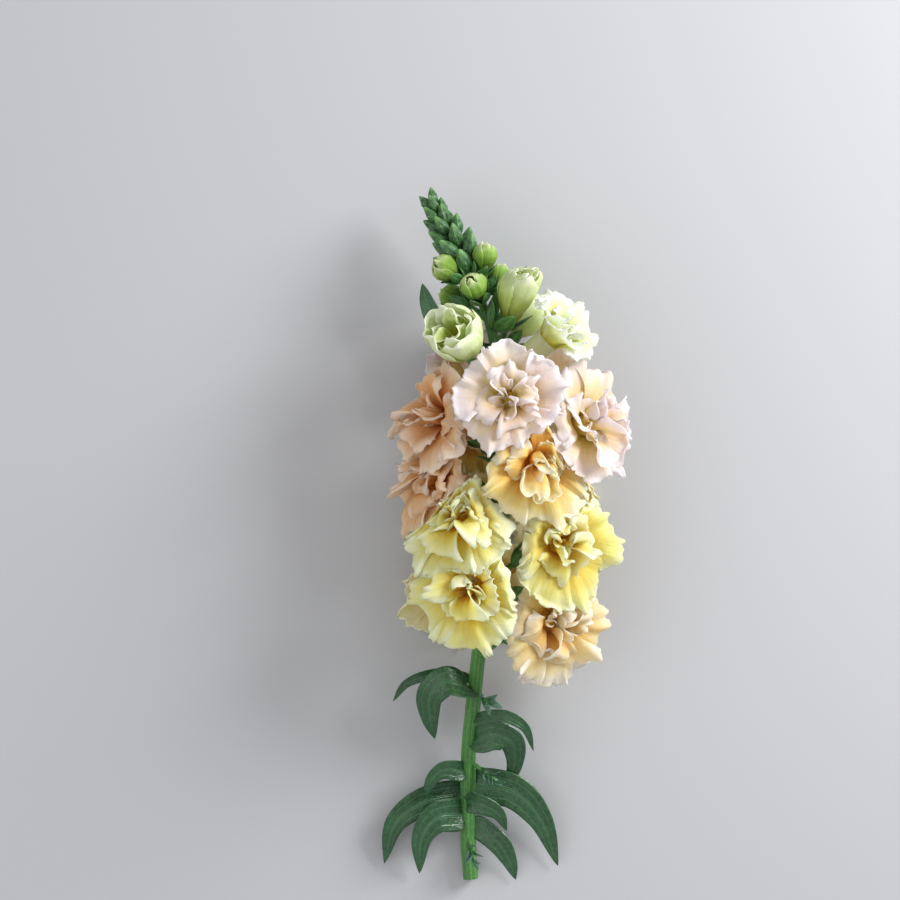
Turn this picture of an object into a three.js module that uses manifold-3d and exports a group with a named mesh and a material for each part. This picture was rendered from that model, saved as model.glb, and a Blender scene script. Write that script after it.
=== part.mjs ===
// One cut snapdragon stem of a double, ruffled kind, lying on a flat surface. Millimetres.
// X runs across the stem, Y along it to the tip, Z up from the surface the stem lies on.
// The origin ends up under the middle of the stem's bounding box, on that surface.

import * as THREE from "three";
import { mergeVertices } from "three/addons/utils/BufferGeometryUtils.js";
import Module from "manifold-3d";

const wasm = await Module();
wasm.setup();

// ---- Driving dimensions ----

// Centre line of the main stem from the cut end to the tip: x, y, z.
const AXIS = [
  [8.75, -182.5, 3.5],
  [7.5, -165, 4.2],
  [7.5, -145.8, 7],
  [7.9, -125, 12.5],
  [10, -104.2, 19.5],
  [12.5, -81.25, 26.5],
  [18.75, -45.8, 30.5],
  [22.1, -20.8, 31],
  [23.75, 0, 31],
  [22.9, 20.8, 31],
  [18.3, 45.4, 30.5],
  [12.9, 62.5, 29.5],
  [2.1, 85.8, 26.5],
  [-3.75, 95.8, 25],
  [-8, 104, 23.5],
];
const STEM_RADIUS = [3.2, 3.1, 2.9, 2.4, 1.7, 0.9]; // even steps from the cut end to the tip
const STEM_SIDES = 8;
const STEM_RINGS = 18;
const RIDGE = 0.09; // how far the stem's ridges stand out, as a part of its radius

const PETAL_HALF = 0.4; // half a petal's thickness
const LEAF_HALF = 0.36;
const GAP = 0.35; // between neighbouring nodes
const FLOOR = 0; // the surface the stem lies on

// Open blooms: name, head centre x and y, height of the head over the stem's centre line,
// reach of the outer petals, tilt towards the tip in degrees, how far the face turns upwards,
// rise from its foot, seed, colour.
const BLOOMS = [
  ["bloom_01", 23.5, 20.5, 27, 25, 12, 0.2, 15, 11, "blush"],
  ["bloom_02", 54, 10, 8, 27, 18, 0.5, 15, 12, "blush"],
  ["bloom_03", -2.5, 13, 8, 24.5, 18, 0.35, 16, 13, "peach"],
  ["bloom_04", 36.5, -7, 22, 26, 0, 0.3, 16, 14, "apricot"],
  ["bloom_05", -3.5, -12, 3, 25, 12, 0.5, 15, 15, "peach"],
  ["bloom_06", 4.8, -28, 20.5, 28, 6, 0.8, 16, 16, "lemon"],
  ["bloom_07", 45, -39, 13.5, 27, 2, 1.3, 15, 17, "lemon"],
  ["bloom_08", 8.5, -58.5, 24, 26, 0, 0.4, 15, 18, "lemon"],
  ["bloom_09", 42.5, -73.5, 7, 26, 0, 1.5, 14, 19, "buff"],
  ["bloom_10", 4, -58, -21, 26, 4, -0.8, 14, 20, "cream"],
  ["bloom_11", 33, -54, -22.5, 26, 4, -1.2, 14, 21, "cream"],
  ["bloom_12", 7, -27, -23.5, 26, 4, -1.2, 14, 22, "cream"],
  ["bloom_13", 42, -16, -22.5, 26, 4, -1.2, 14, 23, "cream"],
  ["bloom_14", 11, 5, -22, 25, 6, -0.8, 14, 61, "cream"],
  ["bloom_15", 40, 23, -20.5, 25, 8, -0.6, 14, 25, "blush"],
  ["bloom_16", 8, 36, -15, 20, 14, 0, 14, 26, "blush"],
];

// Blooms that are only half open, with the same columns.
const HALF_OPEN = [
  ["half_open_01", 5.5, 45, 14, 15, 26, 0.6, 12, 31, "lime"],
  ["half_open_02", 41, 46.5, 10, 18.5, 26, 0.5, 17, 32, "lime"],
  ["half_open_03", 30, 52, -13, 13, 34, 0, 14, 33, "lime"],
];

// Large buds that show their petals: name, middle x and y, height over the centre line,
// length, radius, tilt towards the tip in degrees, rise from its foot, seed.
const BUDS = [
  ["bud_01", 28, 65, 9, 28, 8, 60, 17, 41],
  ["bud_02", 10, 67.5, 11.5, 13.5, 5.6, 44, 9, 42],
  ["bud_03", -1.6, 75.5, 6, 12.5, 5.4, 40, 9, 43],
  ["bud_04", 14.6, 80, 8, 12, 4.9, 52, 9, 44],
  ["bud_05", 20, 72.5, -4, 13, 4.4, 50, 9, 45],
  ["bud_06", 1.5, 64, -9, 13, 5.2, 40, 9, 46],
];

// Tight green buds that spiral up to the tip.
const TIP_BUDS = {
  count: 16,
  turn: 137.5,
  from: 77,
  to: 103.8,
  length: [10.6, 5.2],
  radius: [4, 2],
};

// Petal layers of a bloom, outermost first: lobes, cells round, cells out, root radius, root
// height, opening angles at the root and at the edge, length as a part of the reach, notch
// between lobes, ruffle.
const layer = ([lobes, round, out, root, lift, rootOpen, edgeOpen, length, notch, ruffle]) => ({
  lobes,
  round,
  out,
  root,
  lift,
  open: [rootOpen, edgeOpen],
  length,
  notch,
  ruffle,
});
const LAYERS = [
  [5, 20, 2, 4.4, -1.4, 48, 120, 0.94, 0.28, 0.1],
  [5, 15, 2, 3.1, -1, 16, 96, 0.74, 0.26, 0.13],
  [5, 15, 1, 1.5, -0.4, 2, 58, 0.5, 0.3, 0.2],
].map(layer);
const BACK_LAYERS = [
  [5, 15, 2, 4.4, -1.4, 44, 110, 0.92, 0.28, 0.1],
  [5, 10, 1, 3.1, -1, 14, 88, 0.68, 0.26, 0.13],
  [5, 10, 1, 1.5, -0.4, 2, 50, 0.42, 0.3, 0.2],
].map(layer);
const HALF_LAYERS = [
  [5, 15, 2, 4.2, -1.4, 24, 66, 1, 0.26, 0.09],
  [5, 10, 1, 2.9, -1, 6, 44, 0.8, 0.22, 0.12],
  [5, 10, 1, 1.3, -0.4, 0, 24, 0.6, 0.26, 0.14],
].map(layer);
const LAYER_STEP = 0.95; // how far each inner layer keeps back from the next bloom's space
const SHINGLE = 0.9; // how far the bloom nearer the tip lies over its neighbour
const LIFT = 0.2; // how much more a petal rises where its neighbour stops it
const OPEN_LEAD = 60; // keeps an open bloom's petals over those of buds and half-open blooms

// Leaves: name, points of the midrib, width, roll in degrees, fold in millimetres.
const LEAVES = [
  [
    "leaf_01",
    [[8, -100.5, 26], [-1, -96.5, 30], [-8, -102, 27], [-8.5, -112, 20], [-6.5, -122, 13]],
    12.5,
    12,
    1.2,
  ],
  [
    "leaf_02",
    [[7, -96, 22], [-6, -94, 22], [-18, -98, 19], [-24, -106, 14]],
    4.6,
    -15,
    0.8,
  ],
  [
    "leaf_03",
    [[11, -123, 17], [18.5, -119.5, 22.5], [25.5, -122, 21.5], [27.5, -131, 15], [23.5, -146, 7]],
    12,
    16,
    1.4,
  ],
  [
    "leaf_04",
    [[12, -113, 20], [23, -111, 29], [31, -115.5, 29], [35, -126, 24]],
    4.8,
    10,
    0.8,
  ],
  [
    "leaf_05",
    [[5, -136, 13], [-2.5, -134.5, 17], [-7.5, -138.5, 16.5], [-10.5, -146.5, 13]],
    8,
    -24,
    1,
  ],
  [
    "leaf_06",
    [[8, -149, 11.5], [13.5, -149.5, 16], [20, -153, 15.5], [24, -161, 12]],
    8.5,
    20,
    1,
  ],
  [
    "leaf_07",
    [[4.5, -155, 8], [-5, -155, 14], [-11.5, -163, 12], [-13, -180, 4.5]],
    13.5,
    -14,
    1.4,
  ],
  [
    "leaf_08",
    [[4.5, -147, 5], [-11, -149, 9.5], [-23, -158, 8], [-28, -176, 3]],
    12.5,
    -8,
    1.3,
  ],
  [
    "leaf_09",
    [[10.5, -143, 7.5], [26, -144, 11], [38, -156, 8], [46, -177, 3]],
    15,
    10,
    1.5,
  ],
  [
    "leaf_10",
    [[10.5, -160, 4.5], [20, -166, 7.5], [25, -174, 5], [28, -183, 2.4]],
    9.5,
    14,
    1,
  ],
  [
    "leaf_11",
    [[6.5, 44, 30], [-3, 50, 38], [-9, 60, 40], [-11.5, 69, 37]],
    8,
    -20,
    1,
  ],
];
const LEAF_STATIONS = 6;
const LEAF_TURN = 62; // degrees by which a hanging blade stands on its edge at the stem
const LEAF_TURN_HEIGHT = 12; // millimetres above the surface from which a blade turns as far

// Short shoots in the leaf axils: name, foot, direction, length, leaf length, leaves, seed.
const SHOOTS = [
  ["side_shoot_01", [9, -103, 24.5], [0.75, -0.2, 0.75], 12, 9, 6, 51],
  ["side_shoot_02", [10.5, -131, 14], [0.8, -0.75, 0.35], 13, 9, 6, 53],
  ["side_shoot_03", [8, -163, 8], [0.2, -0.9, 0.5], 12, 8.5, 6, 54],
];

const COLOURS = {
  stem: 0x3f8a46,
  leaf: 0x1f5230,
  lime: 0xc4d982,
  blush: 0xf0dcd4,
  peach: 0xeccbb0,
  buff: 0xeed3a4,
  apricot: 0xe3ad62,
  lemon: 0xecdc84,
  cream: 0xefe3b8,
};

// ---- Small helpers ----

const vec = (x, y, z) => new THREE.Vector3(x, y, z);
const mix = (a, b, t) => a + (b - a) * t;
const rad = (degrees) => (degrees * Math.PI) / 180;
const TURN = Math.PI * 2;

// A repeatable random number in 0..1 for each call.
function dice(seed) {
  let s = (seed * 2654435761) >>> 0;
  return () => {
    s = (s + 0x6d2b79f5) >>> 0;
    let t = Math.imul(s ^ (s >>> 15), 1 | s);
    t = (t + Math.imul(t ^ (t >>> 7), 61 | t)) ^ t;
    return ((t ^ (t >>> 14)) >>> 0) / 4294967296;
  };
}

// Value of a list at t in 0..1, straight between its entries.
function along(list, t) {
  const at = Math.min(Math.max(t, 0), 1) * (list.length - 1);
  const i = Math.min(Math.floor(at), list.length - 2);
  return mix(list[i], list[i + 1], at - i);
}

const axisCurve = new THREE.CatmullRomCurve3(AXIS.map((p) => vec(...p)), false, "centripetal");

// The stem's centre, direction, upward side and right side at a given y.
function stemFrame(y) {
  let low = 0;
  let high = 1;
  for (let i = 0; i < 40; i++) {
    const middle = (low + high) / 2;
    if (axisCurve.getPoint(middle).y < y) low = middle;
    else high = middle;
  }
  const centre = axisCurve.getPoint(low);
  const ahead = axisCurve.getTangent(low).normalize();
  const up = vec(0, 0, 1).addScaledVector(ahead, -ahead.z).normalize();
  const right = ahead.clone().cross(up);
  return { t: low, centre, ahead, up, right };
}

// ---- Closed solids from rings of points ----

// A closed solid: rings one after the other, each end closed by a middle point. A ring may hold
// twice as many points as the ring before it. Between the ring numbers in `turns` the rings
// come back along earlier ones, and their cells are split along the same diagonals.
function solidFromRings(rings, firstPole, lastPole, turns = []) {
  const points = rings.flat();
  const faces = [];
  let start = 0;
  for (let i = 0; i + 1 < rings.length; i++) {
    const n = rings[i].length;
    const step = rings[i + 1].length / n;
    const back = turns.some(([from, to]) => i >= from && i < to);
    for (let j = 0; j < n; j++) {
      const a = start + j;
      const b = start + ((j + 1) % n);
      const d = start + n + j * step;
      const c = start + n + ((j * step + step) % (n * step));
      if (step === 2) faces.push(a, d + 1, d, a, b, d + 1, b, c, d + 1);
      else if (back) faces.push(a, b, d, b, c, d);
      else faces.push(a, b, c, a, c, d);
    }
    start += n;
  }
  points.push(firstPole, lastPole);
  for (let j = 0; j < rings[0].length; j++) faces.push(points.length - 2, (j + 1) % rings[0].length, j);
  const last = rings.at(-1).length;
  for (let j = 0; j < last; j++) faces.push(points.length - 1, start + j, start + ((j + 1) % last));
  return toSolid(points, faces);
}

// A solid of points and triangles, turned so that its faces look out.
function toSolid(points, faces) {
  const vertProperties = new Float32Array(points.flatMap((p) => [p.x, p.y, p.z]));
  let volume = 0;
  for (let i = 0; i < faces.length; i += 3) {
    const [a, b, c] = [points[faces[i]], points[faces[i + 1]], points[faces[i + 2]]];
    volume += a.dot(b.clone().cross(c));
  }
  const triVerts = new Uint32Array(faces);
  if (volume < 0) triVerts.reverse();
  return new wasm.Manifold(new wasm.Mesh({ numProp: 3, vertProperties, triVerts }));
}

// A ring of points round a centre, at right angles to a direction.
function ring(centre, direction, side, radius, sides, shape = () => 1, turnBy = 0) {
  const other = direction.clone().cross(side).normalize();
  return Array.from({ length: sides }, (_, j) => {
    const angle = (TURN * j) / sides + turnBy;
    const r = radius * shape(j, angle);
    return centre
      .clone()
      .addScaledVector(side, Math.cos(angle) * r)
      .addScaledVector(other, Math.sin(angle) * r);
  });
}

// A side direction at right angles to a given one, kept close to a wished one.
function squareTo(direction, wish) {
  return wish.clone().addScaledVector(direction, -wish.dot(direction)).normalize();
}

// A solid swept along a curve from one parameter to another, with radii in even steps.
function sweep(curve, from, to, radii, sides, grow = 0) {
  const steps = radii.length - 1;
  const side = vec(0.31, 0.17, 0.93);
  const rings = radii.map((radius, i) => {
    const t = mix(from, to, i / steps);
    const direction = curve.getTangent(t).normalize();
    return ring(curve.getPoint(t), direction, squareTo(direction, side), radius + grow, sides);
  });
  const first = curve.getPoint(from).addScaledVector(curve.getTangent(from).normalize(), -0.3 - grow);
  const last = curve.getPoint(to).addScaledVector(curve.getTangent(to).normalize(), 0.5 + grow);
  return solidFromRings(rings, first, last);
}

// The largest single body of a solid, without the loose scraps that a cut leaves.
function largestBody(solid) {
  const bodies = solid.decompose();
  return bodies.reduce((best, body) => (body.volume() > best.volume() ? body : best));
}

const touches = (a, b) => a.intersect(b).volume() > 1e-4;

// A solid less every keep-out solid that it really meets.
function clearOf(solid, keepOuts) {
  return keepOuts.reduce((left, keep) => (touches(left, keep) ? left.subtract(keep) : left), solid);
}

// ---- Main stem ----

function mainStem(grow = 0) {
  const shape = (j) => 1 + (j % 2 ? -RIDGE : RIDGE);
  const rings = Array.from({ length: STEM_RINGS + 1 }, (_, i) => {
    const t = i / STEM_RINGS;
    const direction = axisCurve.getTangent(t).normalize();
    const side = squareTo(direction, vec(1, 0, 0));
    return ring(axisCurve.getPoint(t), direction, side, along(STEM_RADIUS, t) + grow, STEM_SIDES, shape);
  });
  const tip = axisCurve.getPoint(1).addScaledVector(axisCurve.getTangent(1), 1);
  return solidFromRings(rings, axisCurve.getPoint(0), tip);
}

// ---- Heads: where each bloom or bud sits and how its stalk reaches it ----

function makeHead([name, x, y, over, reach, tilt, look, rise, seed, colour], kind) {
  const here = stemFrame(y);
  const centre = vec(x, y, here.centre.z + over);
  const out = centre.clone().sub(here.centre);
  out.addScaledVector(here.ahead, -out.dot(here.ahead)).normalize();
  const facing = out.clone().multiplyScalar(Math.cos(rad(tilt)));
  facing.addScaledVector(here.ahead, Math.sin(rad(tilt)));
  facing.addScaledVector(here.up, look).normalize();
  const foot = stemFrame(y - rise);
  const leave = out.clone().addScaledVector(foot.ahead, 0.9).normalize();
  const pull = centre.distanceTo(foot.centre) * 0.36;
  const curve = new THREE.CubicBezierCurve3(
    foot.centre.clone(),
    foot.centre.clone().addScaledVector(leave, pull),
    centre.clone().addScaledVector(facing, -pull),
    centre.clone(),
  );
  const upper = squareTo(facing, here.ahead);
  const turnBy = dice(seed)();
  const own = { seed, colour, turnBy, cupAt: CUP_AT, cupSize: 1 };
  return { name, kind, centre, facing, upper, curve, reach, weight: reach, over, ...own };
}

const CUP_AT = 0.3; // where on its stalk a bloom's green cup begins
const CUP = { base: 3.2, outer: 5.8, inner: 5, depth: 8, floor: 1, notch: 0.42 };
const TUBE_FROM = 2.9; // from the cup's foot to the foot of the tube
const TUBE_RADII = [0.8, 4.2, 4.5];
const TUBE_AT = [0, 0.36, 1]; // where those radii lie between the tube's foot and its mouth
const STALK_RADIUS = 1.5;

// Rings of a bloom's pale tube, from its narrow foot in the cup to just below the mouth.
function tubeRings(head, sides, turnBy) {
  const from = head.cupAt + TUBE_FROM / head.curve.getLength();
  return TUBE_RADII.map((radius, i) => {
    const t = mix(from, 0.93, TUBE_AT[i]);
    const direction = head.curve.getTangent(t).normalize();
    const scale = head.kind === "half" ? 0.92 : 1;
    const side = squareTo(direction, head.upper);
    return ring(head.curve.getPoint(t), direction, side, radius * scale, sides, undefined, turnBy);
  });
}

// What other nodes keep clear of: the stalk, the cup and the tube of a head.
function headKeepOut(head) {
  if (head.kind === "bud") return sweep(head.curve, 0, head.cupAt + 0.2, [2, 1.9, 1.9, 5], 6, GAP);
  return sweep(head.curve, 0, 1, [2, 1.9, 5.6, 6, 5.4, 6], 6, GAP);
}

// The higher of two heads lies over the other: nearer the tip and the top, and open.
function liesOver(head) {
  const lead = head.kind === "open" ? OPEN_LEAD : 0;
  return head.centre.y + 0.7 * head.centre.z + lead;
}

// The plane between two heads: it leans, so that one lies over the other.
function planeBetween(head, other, back) {
  const across = other.centre.clone().sub(head.centre);
  const distance = across.length();
  across.normalize();
  const share = (distance * head.weight) / (head.weight + other.weight);
  const point = head.centre.clone().addScaledVector(across, share);
  const facing = squareTo(across, head.facing.clone().add(other.facing));
  const lean = liesOver(head) > liesOver(other) ? -SHINGLE : SHINGLE;
  const normal = across.clone().addScaledVector(facing, lean).normalize();
  return { normal, limit: point.dot(normal) - back };
}

// Keeps a point inside the space of its own head and above the surface.
function makeFence(head, heads, back) {
  const planes = heads.filter((other) => other !== head).map((other) => planeBetween(head, other, back));
  const floor = FLOOR + back - GAP / 2;
  const side = head.facing.clone().setZ(0);
  return (point, lift) => {
    for (let pass = 0; pass < 14; pass++) {
      const soft = pass < 3 ? lift : 0;
      for (const { normal, limit } of planes) {
        const over = point.dot(normal) - limit;
        if (over > 0) point.addScaledVector(normal, -over).addScaledVector(head.facing, over * soft);
      }
      if (point.z < floor) {
        point.addScaledVector(side, (floor - point.z) * soft);
        point.z = floor;
      }
    }
    return point;
  };
}

// ---- Petal layers ----

// Middle surface of one ruffled layer: rows from its root to its edge, each a closed loop.
function layerRows(head, layer, index, fence) {
  const roll = dice(head.seed * 10 + index);
  const turnBy = head.turnBy + Math.PI / layer.lobes * index;
  const phase = [roll() * TURN, roll() * TURN];
  const side = head.facing.clone().cross(head.upper);
  const uneven = Array.from({ length: layer.round }, () => roll() - 0.5);
  const rows = [];
  for (let i = 0; i <= layer.out; i++) {
    const s = i / layer.out;
    rows.push(
      Array.from({ length: layer.round }, (_, j) => {
        const angle = (TURN * j) / layer.round + turnBy;
        const lobe = Math.abs(Math.cos(((angle - turnBy) * layer.lobes) / 2)) ** 0.7;
        const upperMore = 1 + 0.1 * Math.cos(angle);
        const edge = 1 - layer.notch * s * (1 - lobe) + 0.12 * s * uneven[j];
        const length = head.reach * layer.length * edge * upperMore;
        const bend = rad(layer.open[0]);
        const bow = rad(layer.open[1]) - bend;
        const outward = (Math.cos(bend) - Math.cos(bend + bow * s)) / bow;
        const forward = (Math.sin(bend + bow * s) - Math.sin(bend)) / bow;
        const wave = Math.sin(layer.lobes * 1.6 * angle + phase[0]) + 0.6 * Math.sin(3 * angle + phase[1]);
        const high = layer.lift + length * (forward + layer.ruffle * s * s * wave);
        const wide = layer.root + length * outward * (1 + 0.05 * s * uneven[(j + 3) % layer.round]);
        const point = head.centre
          .clone()
          .addScaledVector(head.facing, high)
          .addScaledVector(head.upper, Math.cos(angle) * wide)
          .addScaledVector(side, Math.sin(angle) * wide);
        return s > 0 ? fence(point, LIFT) : point;
      }),
    );
  }
  return rows;
}

// The two faces of a blade of even thickness about its middle rows.
function bladeFaces(rows, half) {
  const n = rows[0].length;
  const last = rows.length - 1;
  const normalAt = (i, j) => {
    const round = rows[i][(j + 1) % n].clone().sub(rows[i][(j + n - 1) % n]);
    const outward = rows[Math.min(i + 1, last)][j].clone().sub(rows[Math.max(i - 1, 0)][j]);
    return outward.cross(round).normalize();
  };
  const place = (p, normal, way) => {
    const placed = p.clone().addScaledVector(normal, way * half);
    const pressed = p.z < FLOOR + half + 1e-3 && Math.abs(normal.z) > 0.4;
    placed.z = pressed ? FLOOR + (normal.z * way < 0 ? 0 : 2 * half) : Math.max(placed.z, FLOOR);
    return placed;
  };
  const face = (way) => rows.map((row, i) => row.map((p, j) => place(p, normalAt(i, j), way)));
  return { under: face(-1), upper: face(1) };
}

// The tube and the outermost layer of petals as one body.
function makeCollar(head, layer, fence) {
  const { under, upper } = bladeFaces(layerRows(head, layer, 0, fence), PETAL_HALF);
  const tube = tubeRings(head, layer.round, head.turnBy);
  const rings = [...tube, ...under, ...upper.reverse()];
  const turn = tube.length + under.length;
  const t = head.cupAt + (TUBE_FROM - 0.3) / head.curve.getLength();
  const middle = head.centre.clone().addScaledVector(head.facing, layer.lift + PETAL_HALF);
  return solidFromRings(rings, head.curve.getPoint(t), middle, [[turn, rings.length - 1]]);
}

// The inner layers of petals as one body, with its root sunk in the mouth of the tube.
function makeHeart(head, layers, fences) {
  const rings = [];
  const turns = [];
  layers.forEach((layer, k) => {
    const { under, upper } = bladeFaces(layerRows(head, layer, k + 1, fences[k + 1]), PETAL_HALF);
    const turn = rings.length + under.length;
    rings.push(...under, ...upper.reverse());
    turns.push([turn, rings.length - 1]);
  });
  const foot = head.centre.clone().addScaledVector(head.facing, layers[0].lift - 1.2);
  const middle = head.centre.clone().addScaledVector(head.facing, layers.at(-1).lift + 1);
  return solidFromRings(rings, foot, middle, turns);
}

// A bloom: its tube and its petal layers, in the space that its neighbours leave.
function makeBloom(head, heads, keepOuts) {
  const layers = head.kind === "half" ? HALF_LAYERS : head.over < 0 ? BACK_LAYERS : LAYERS;
  const others = keepOuts.filter((k) => k.head !== head).map((k) => k.solid);
  const fences = layers.map((_, i) => makeFence(head, heads, PETAL_HALF + GAP / 2 + i * LAYER_STEP));
  const collar = makeCollar(head, layers[0], fences[0]);
  const heart = makeHeart(head, layers.slice(1), fences);
  return largestBody(clearOf(collar.add(heart), others));
}

// A large bud: a pleated body that narrows to folded petal edges.
function makeBud(head, heads, keepOuts, spec, grow = 0) {
  const [, , , , length, radius] = spec;
  const fence = makeFence(head, heads, GAP / 2 - grow);
  const roll = dice(head.seed);
  const profile = [
    [-0.4, 0.32],
    [-0.1, 0.8],
    [0.1, 1],
    [0.32, 0.84],
    [0.48, 0.5],
  ];
  const rings = profile.map(([at, wide], i) => {
    const pleat = i < 2 ? 0 : 0.06 * i;
    const centre = head.centre.clone().addScaledVector(head.facing, at * length);
    const shape = (j) => 1 + pleat * (j % 2 ? -0.6 : 0.6) + (i > 2 ? 0.1 * (roll() - 0.5) : 0);
    return ring(centre, head.facing, head.upper, wide * radius + grow, 10, shape).map((p) => fence(p, 0));
  });
  const first = head.centre.clone().addScaledVector(head.facing, -0.56 * length);
  const last = head.centre.clone().addScaledVector(head.facing, 0.42 * length);
  const others = keepOuts.filter((k) => k.head !== head).map((k) => k.solid);
  return largestBody(clearOf(solidFromRings(rings, first, last), others));
}

// ---- The green stem with its stalks, cups and tight buds ----

// A head's stalk, from the middle of the main stem, with a green cup of five pointed sepals
// that stands clear of the tube or the bud in it.
function makeStalk(head) {
  const length = head.curve.getLength();
  const size = head.cupSize;
  const at = (height) => Math.min(head.cupAt + (height * size) / length, 1);
  const level = (t, radius, sides) => {
    const direction = head.curve.getTangent(t).normalize();
    return ring(head.curve.getPoint(t), direction, squareTo(direction, head.upper), radius, sides);
  };
  const star = (height, radius) => {
    const low = level(at(height * CUP.notch), radius * size, 10);
    return level(at(height), radius * size, 10).map((p, j) => (j % 2 ? low[j] : p));
  };
  const rings = [
    level(0, STALK_RADIUS, 5),
    level(head.cupAt, STALK_RADIUS * 0.9, 5),
    level(at(1.2), CUP.base * size, 5),
    star(CUP.depth, CUP.outer),
    star(CUP.depth - 0.8, CUP.inner),
  ];
  return solidFromRings(rings, head.curve.getPoint(0), head.curve.getPoint(at(CUP.floor)));
}

// One tight bud of the spiral at the tip.
function makeTipBud(index) {
  const t = index / (TIP_BUDS.count - 1);
  const here = stemFrame(mix(TIP_BUDS.from, TIP_BUDS.to, t ** 0.9));
  const angle = rad(TIP_BUDS.turn * index);
  const out = here.up.clone().multiplyScalar(Math.cos(angle)).addScaledVector(here.right, Math.sin(angle));
  const length = mix(...TIP_BUDS.length, t);
  const radius = mix(...TIP_BUDS.radius, t);
  const direction = here.ahead.clone().addScaledVector(out, mix(0.75, 0.2, t)).normalize();
  const foot = here.centre.clone().addScaledVector(out, mix(1.2, 0.5, t));
  const side = squareTo(direction, out);
  const rings = [
    [0.34, 1],
    [0.72, 0.84],
  ].map(([at, wide]) => {
    const centre = foot.clone().addScaledVector(direction, at * length);
    return ring(centre, direction, side, wide * radius, 5);
  });
  return solidFromRings(rings, foot, foot.clone().addScaledVector(direction, length));
}

function makeStem(heads, budSpaces) {
  let stem = mainStem();
  for (const head of heads) stem = stem.add(makeStalk(head));
  for (let i = 0; i < TIP_BUDS.count; i++) stem = stem.add(makeTipBud(i));
  return largestBody(clearOf(stem, budSpaces));
}

// ---- Leaves and side shoots ----

// A pointed blade folded along its midrib, which follows a curve through the given points.
function makeLeaf([, points, width, roll, fold], grow = 0) {
  const root = stemFrame(points[0][1] - 1).centre;
  const curve = new THREE.CatmullRomCurve3([root, ...points.map((p) => vec(...p))], false, "centripetal");
  const half = LEAF_HALF + grow;
  const hangs = points.at(-1)[1] < points[0][1];
  const height = hangs ? Math.min(points[0][2] / LEAF_TURN_HEIGHT, 1) : 0;
  const edgeTurn = LEAF_TURN * height * Math.sign(points[0][0] - points[2][0]);
  const sections = Array.from({ length: LEAF_STATIONS + 1 }, (_, i) => {
    const t = i / LEAF_STATIONS;
    const turned = rad(roll + edgeTurn * (1 - THREE.MathUtils.smoothstep(t, 0.1, 0.5)));
    const direction = curve.getTangent(t).normalize();
    const flat = direction.clone().cross(vec(0, 0, 1)).normalize();
    const up = flat.clone().cross(direction);
    flat.applyAxisAngle(direction, turned);
    up.applyAxisAngle(direction, turned);
    const shape = Math.sin(Math.PI * (0.1 + 0.86 * t) ** 0.85) ** 0.75;
    const reach = (width / 2) * shape + 0.5 + grow;
    const centre = curve.getPoint(t);
    const edge = (way, face) =>
      centre
        .clone()
        .addScaledVector(flat, way * reach)
        .addScaledVector(up, fold * shape + face * half);
    const rib = (face) => centre.clone().addScaledVector(up, face * half);
    return [edge(-1, 1), rib(1), edge(1, 1), edge(1, -1), rib(-1), edge(-1, -1)];
  });
  for (const section of sections) for (const p of section) p.z = Math.max(p.z, FLOOR);
  const middle = (section) => section[1].clone().add(section[4]).multiplyScalar(0.5);
  const first = middle(sections[0]);
  const last = middle(sections[LEAF_STATIONS]).addScaledVector(curve.getTangent(1), 1 + grow);
  return solidFromRings(sections, first, last);
}

// A short shoot: a stalk with a few small leaves set round it by a seeded rule.
function makeShoot([, foot, direction, length, leafLength, count, seed]) {
  const roll = dice(seed);
  const start = stemFrame(foot[1]).centre;
  const end = vec(...foot).addScaledVector(vec(...direction).normalize(), length);
  const ahead = end.clone().sub(start).normalize();
  const curve = new THREE.LineCurve3(start, end);
  let shoot = sweep(curve, 0, 1, [1.1, 0.7], 4);
  const side = squareTo(ahead, vec(0.2, 0.3, 1));
  for (let i = 0; i < count; i++) {
    const t = mix(0.42, 1, i / (count - 1));
    const out = side.clone().applyAxisAngle(ahead, rad(TIP_BUDS.turn * i) + roll() * 0.4);
    const reach = leafLength * (1 - 0.35 * t) * (0.85 + 0.3 * roll());
    const from = curve.getPoint(t * 0.96).addScaledVector(out, -0.2);
    const way = out.clone().addScaledVector(ahead, 0.8 + t).normalize();
    const middle = from.clone().addScaledVector(way, reach * 0.5).addScaledVector(ahead, 0.6);
    const point = from.clone().addScaledVector(way, reach).addScaledVector(out, reach * 0.16);
    shoot = shoot.add(smallBlade(from, middle, point, squareTo(way, ahead.clone().cross(out)), reach * 0.2));
  }
  return shoot;
}

// A small pointed blade: a flat diamond between its foot and its tip.
function smallBlade(from, middle, end, flat, half) {
  const up = flat.clone().cross(end.clone().sub(from)).normalize().multiplyScalar(LEAF_HALF);
  const edge = flat.clone().multiplyScalar(half);
  const around = [edge, up, edge.clone().negate(), up.clone().negate()].map((v) => middle.clone().add(v));
  return solidFromRings([around], from, end);
}

// ---- The whole stem ----

const part = new THREE.Group();
part.name = "snapdragon_stem";

function addNode(name, solid, colour) {
  const { vertProperties, triVerts } = solid.getMesh();
  let geometry = new THREE.BufferGeometry();
  geometry.setAttribute("position", new THREE.BufferAttribute(vertProperties, 3));
  geometry.setIndex(new THREE.BufferAttribute(triVerts, 1));
  geometry = mergeVertices(geometry, 1e-4);
  const material = new THREE.MeshStandardMaterial({ color: COLOURS[colour], roughness: 0.6 });
  material.name = name;
  const mesh = new THREE.Mesh(geometry, material);
  mesh.name = name;
  part.add(mesh);
}

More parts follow.
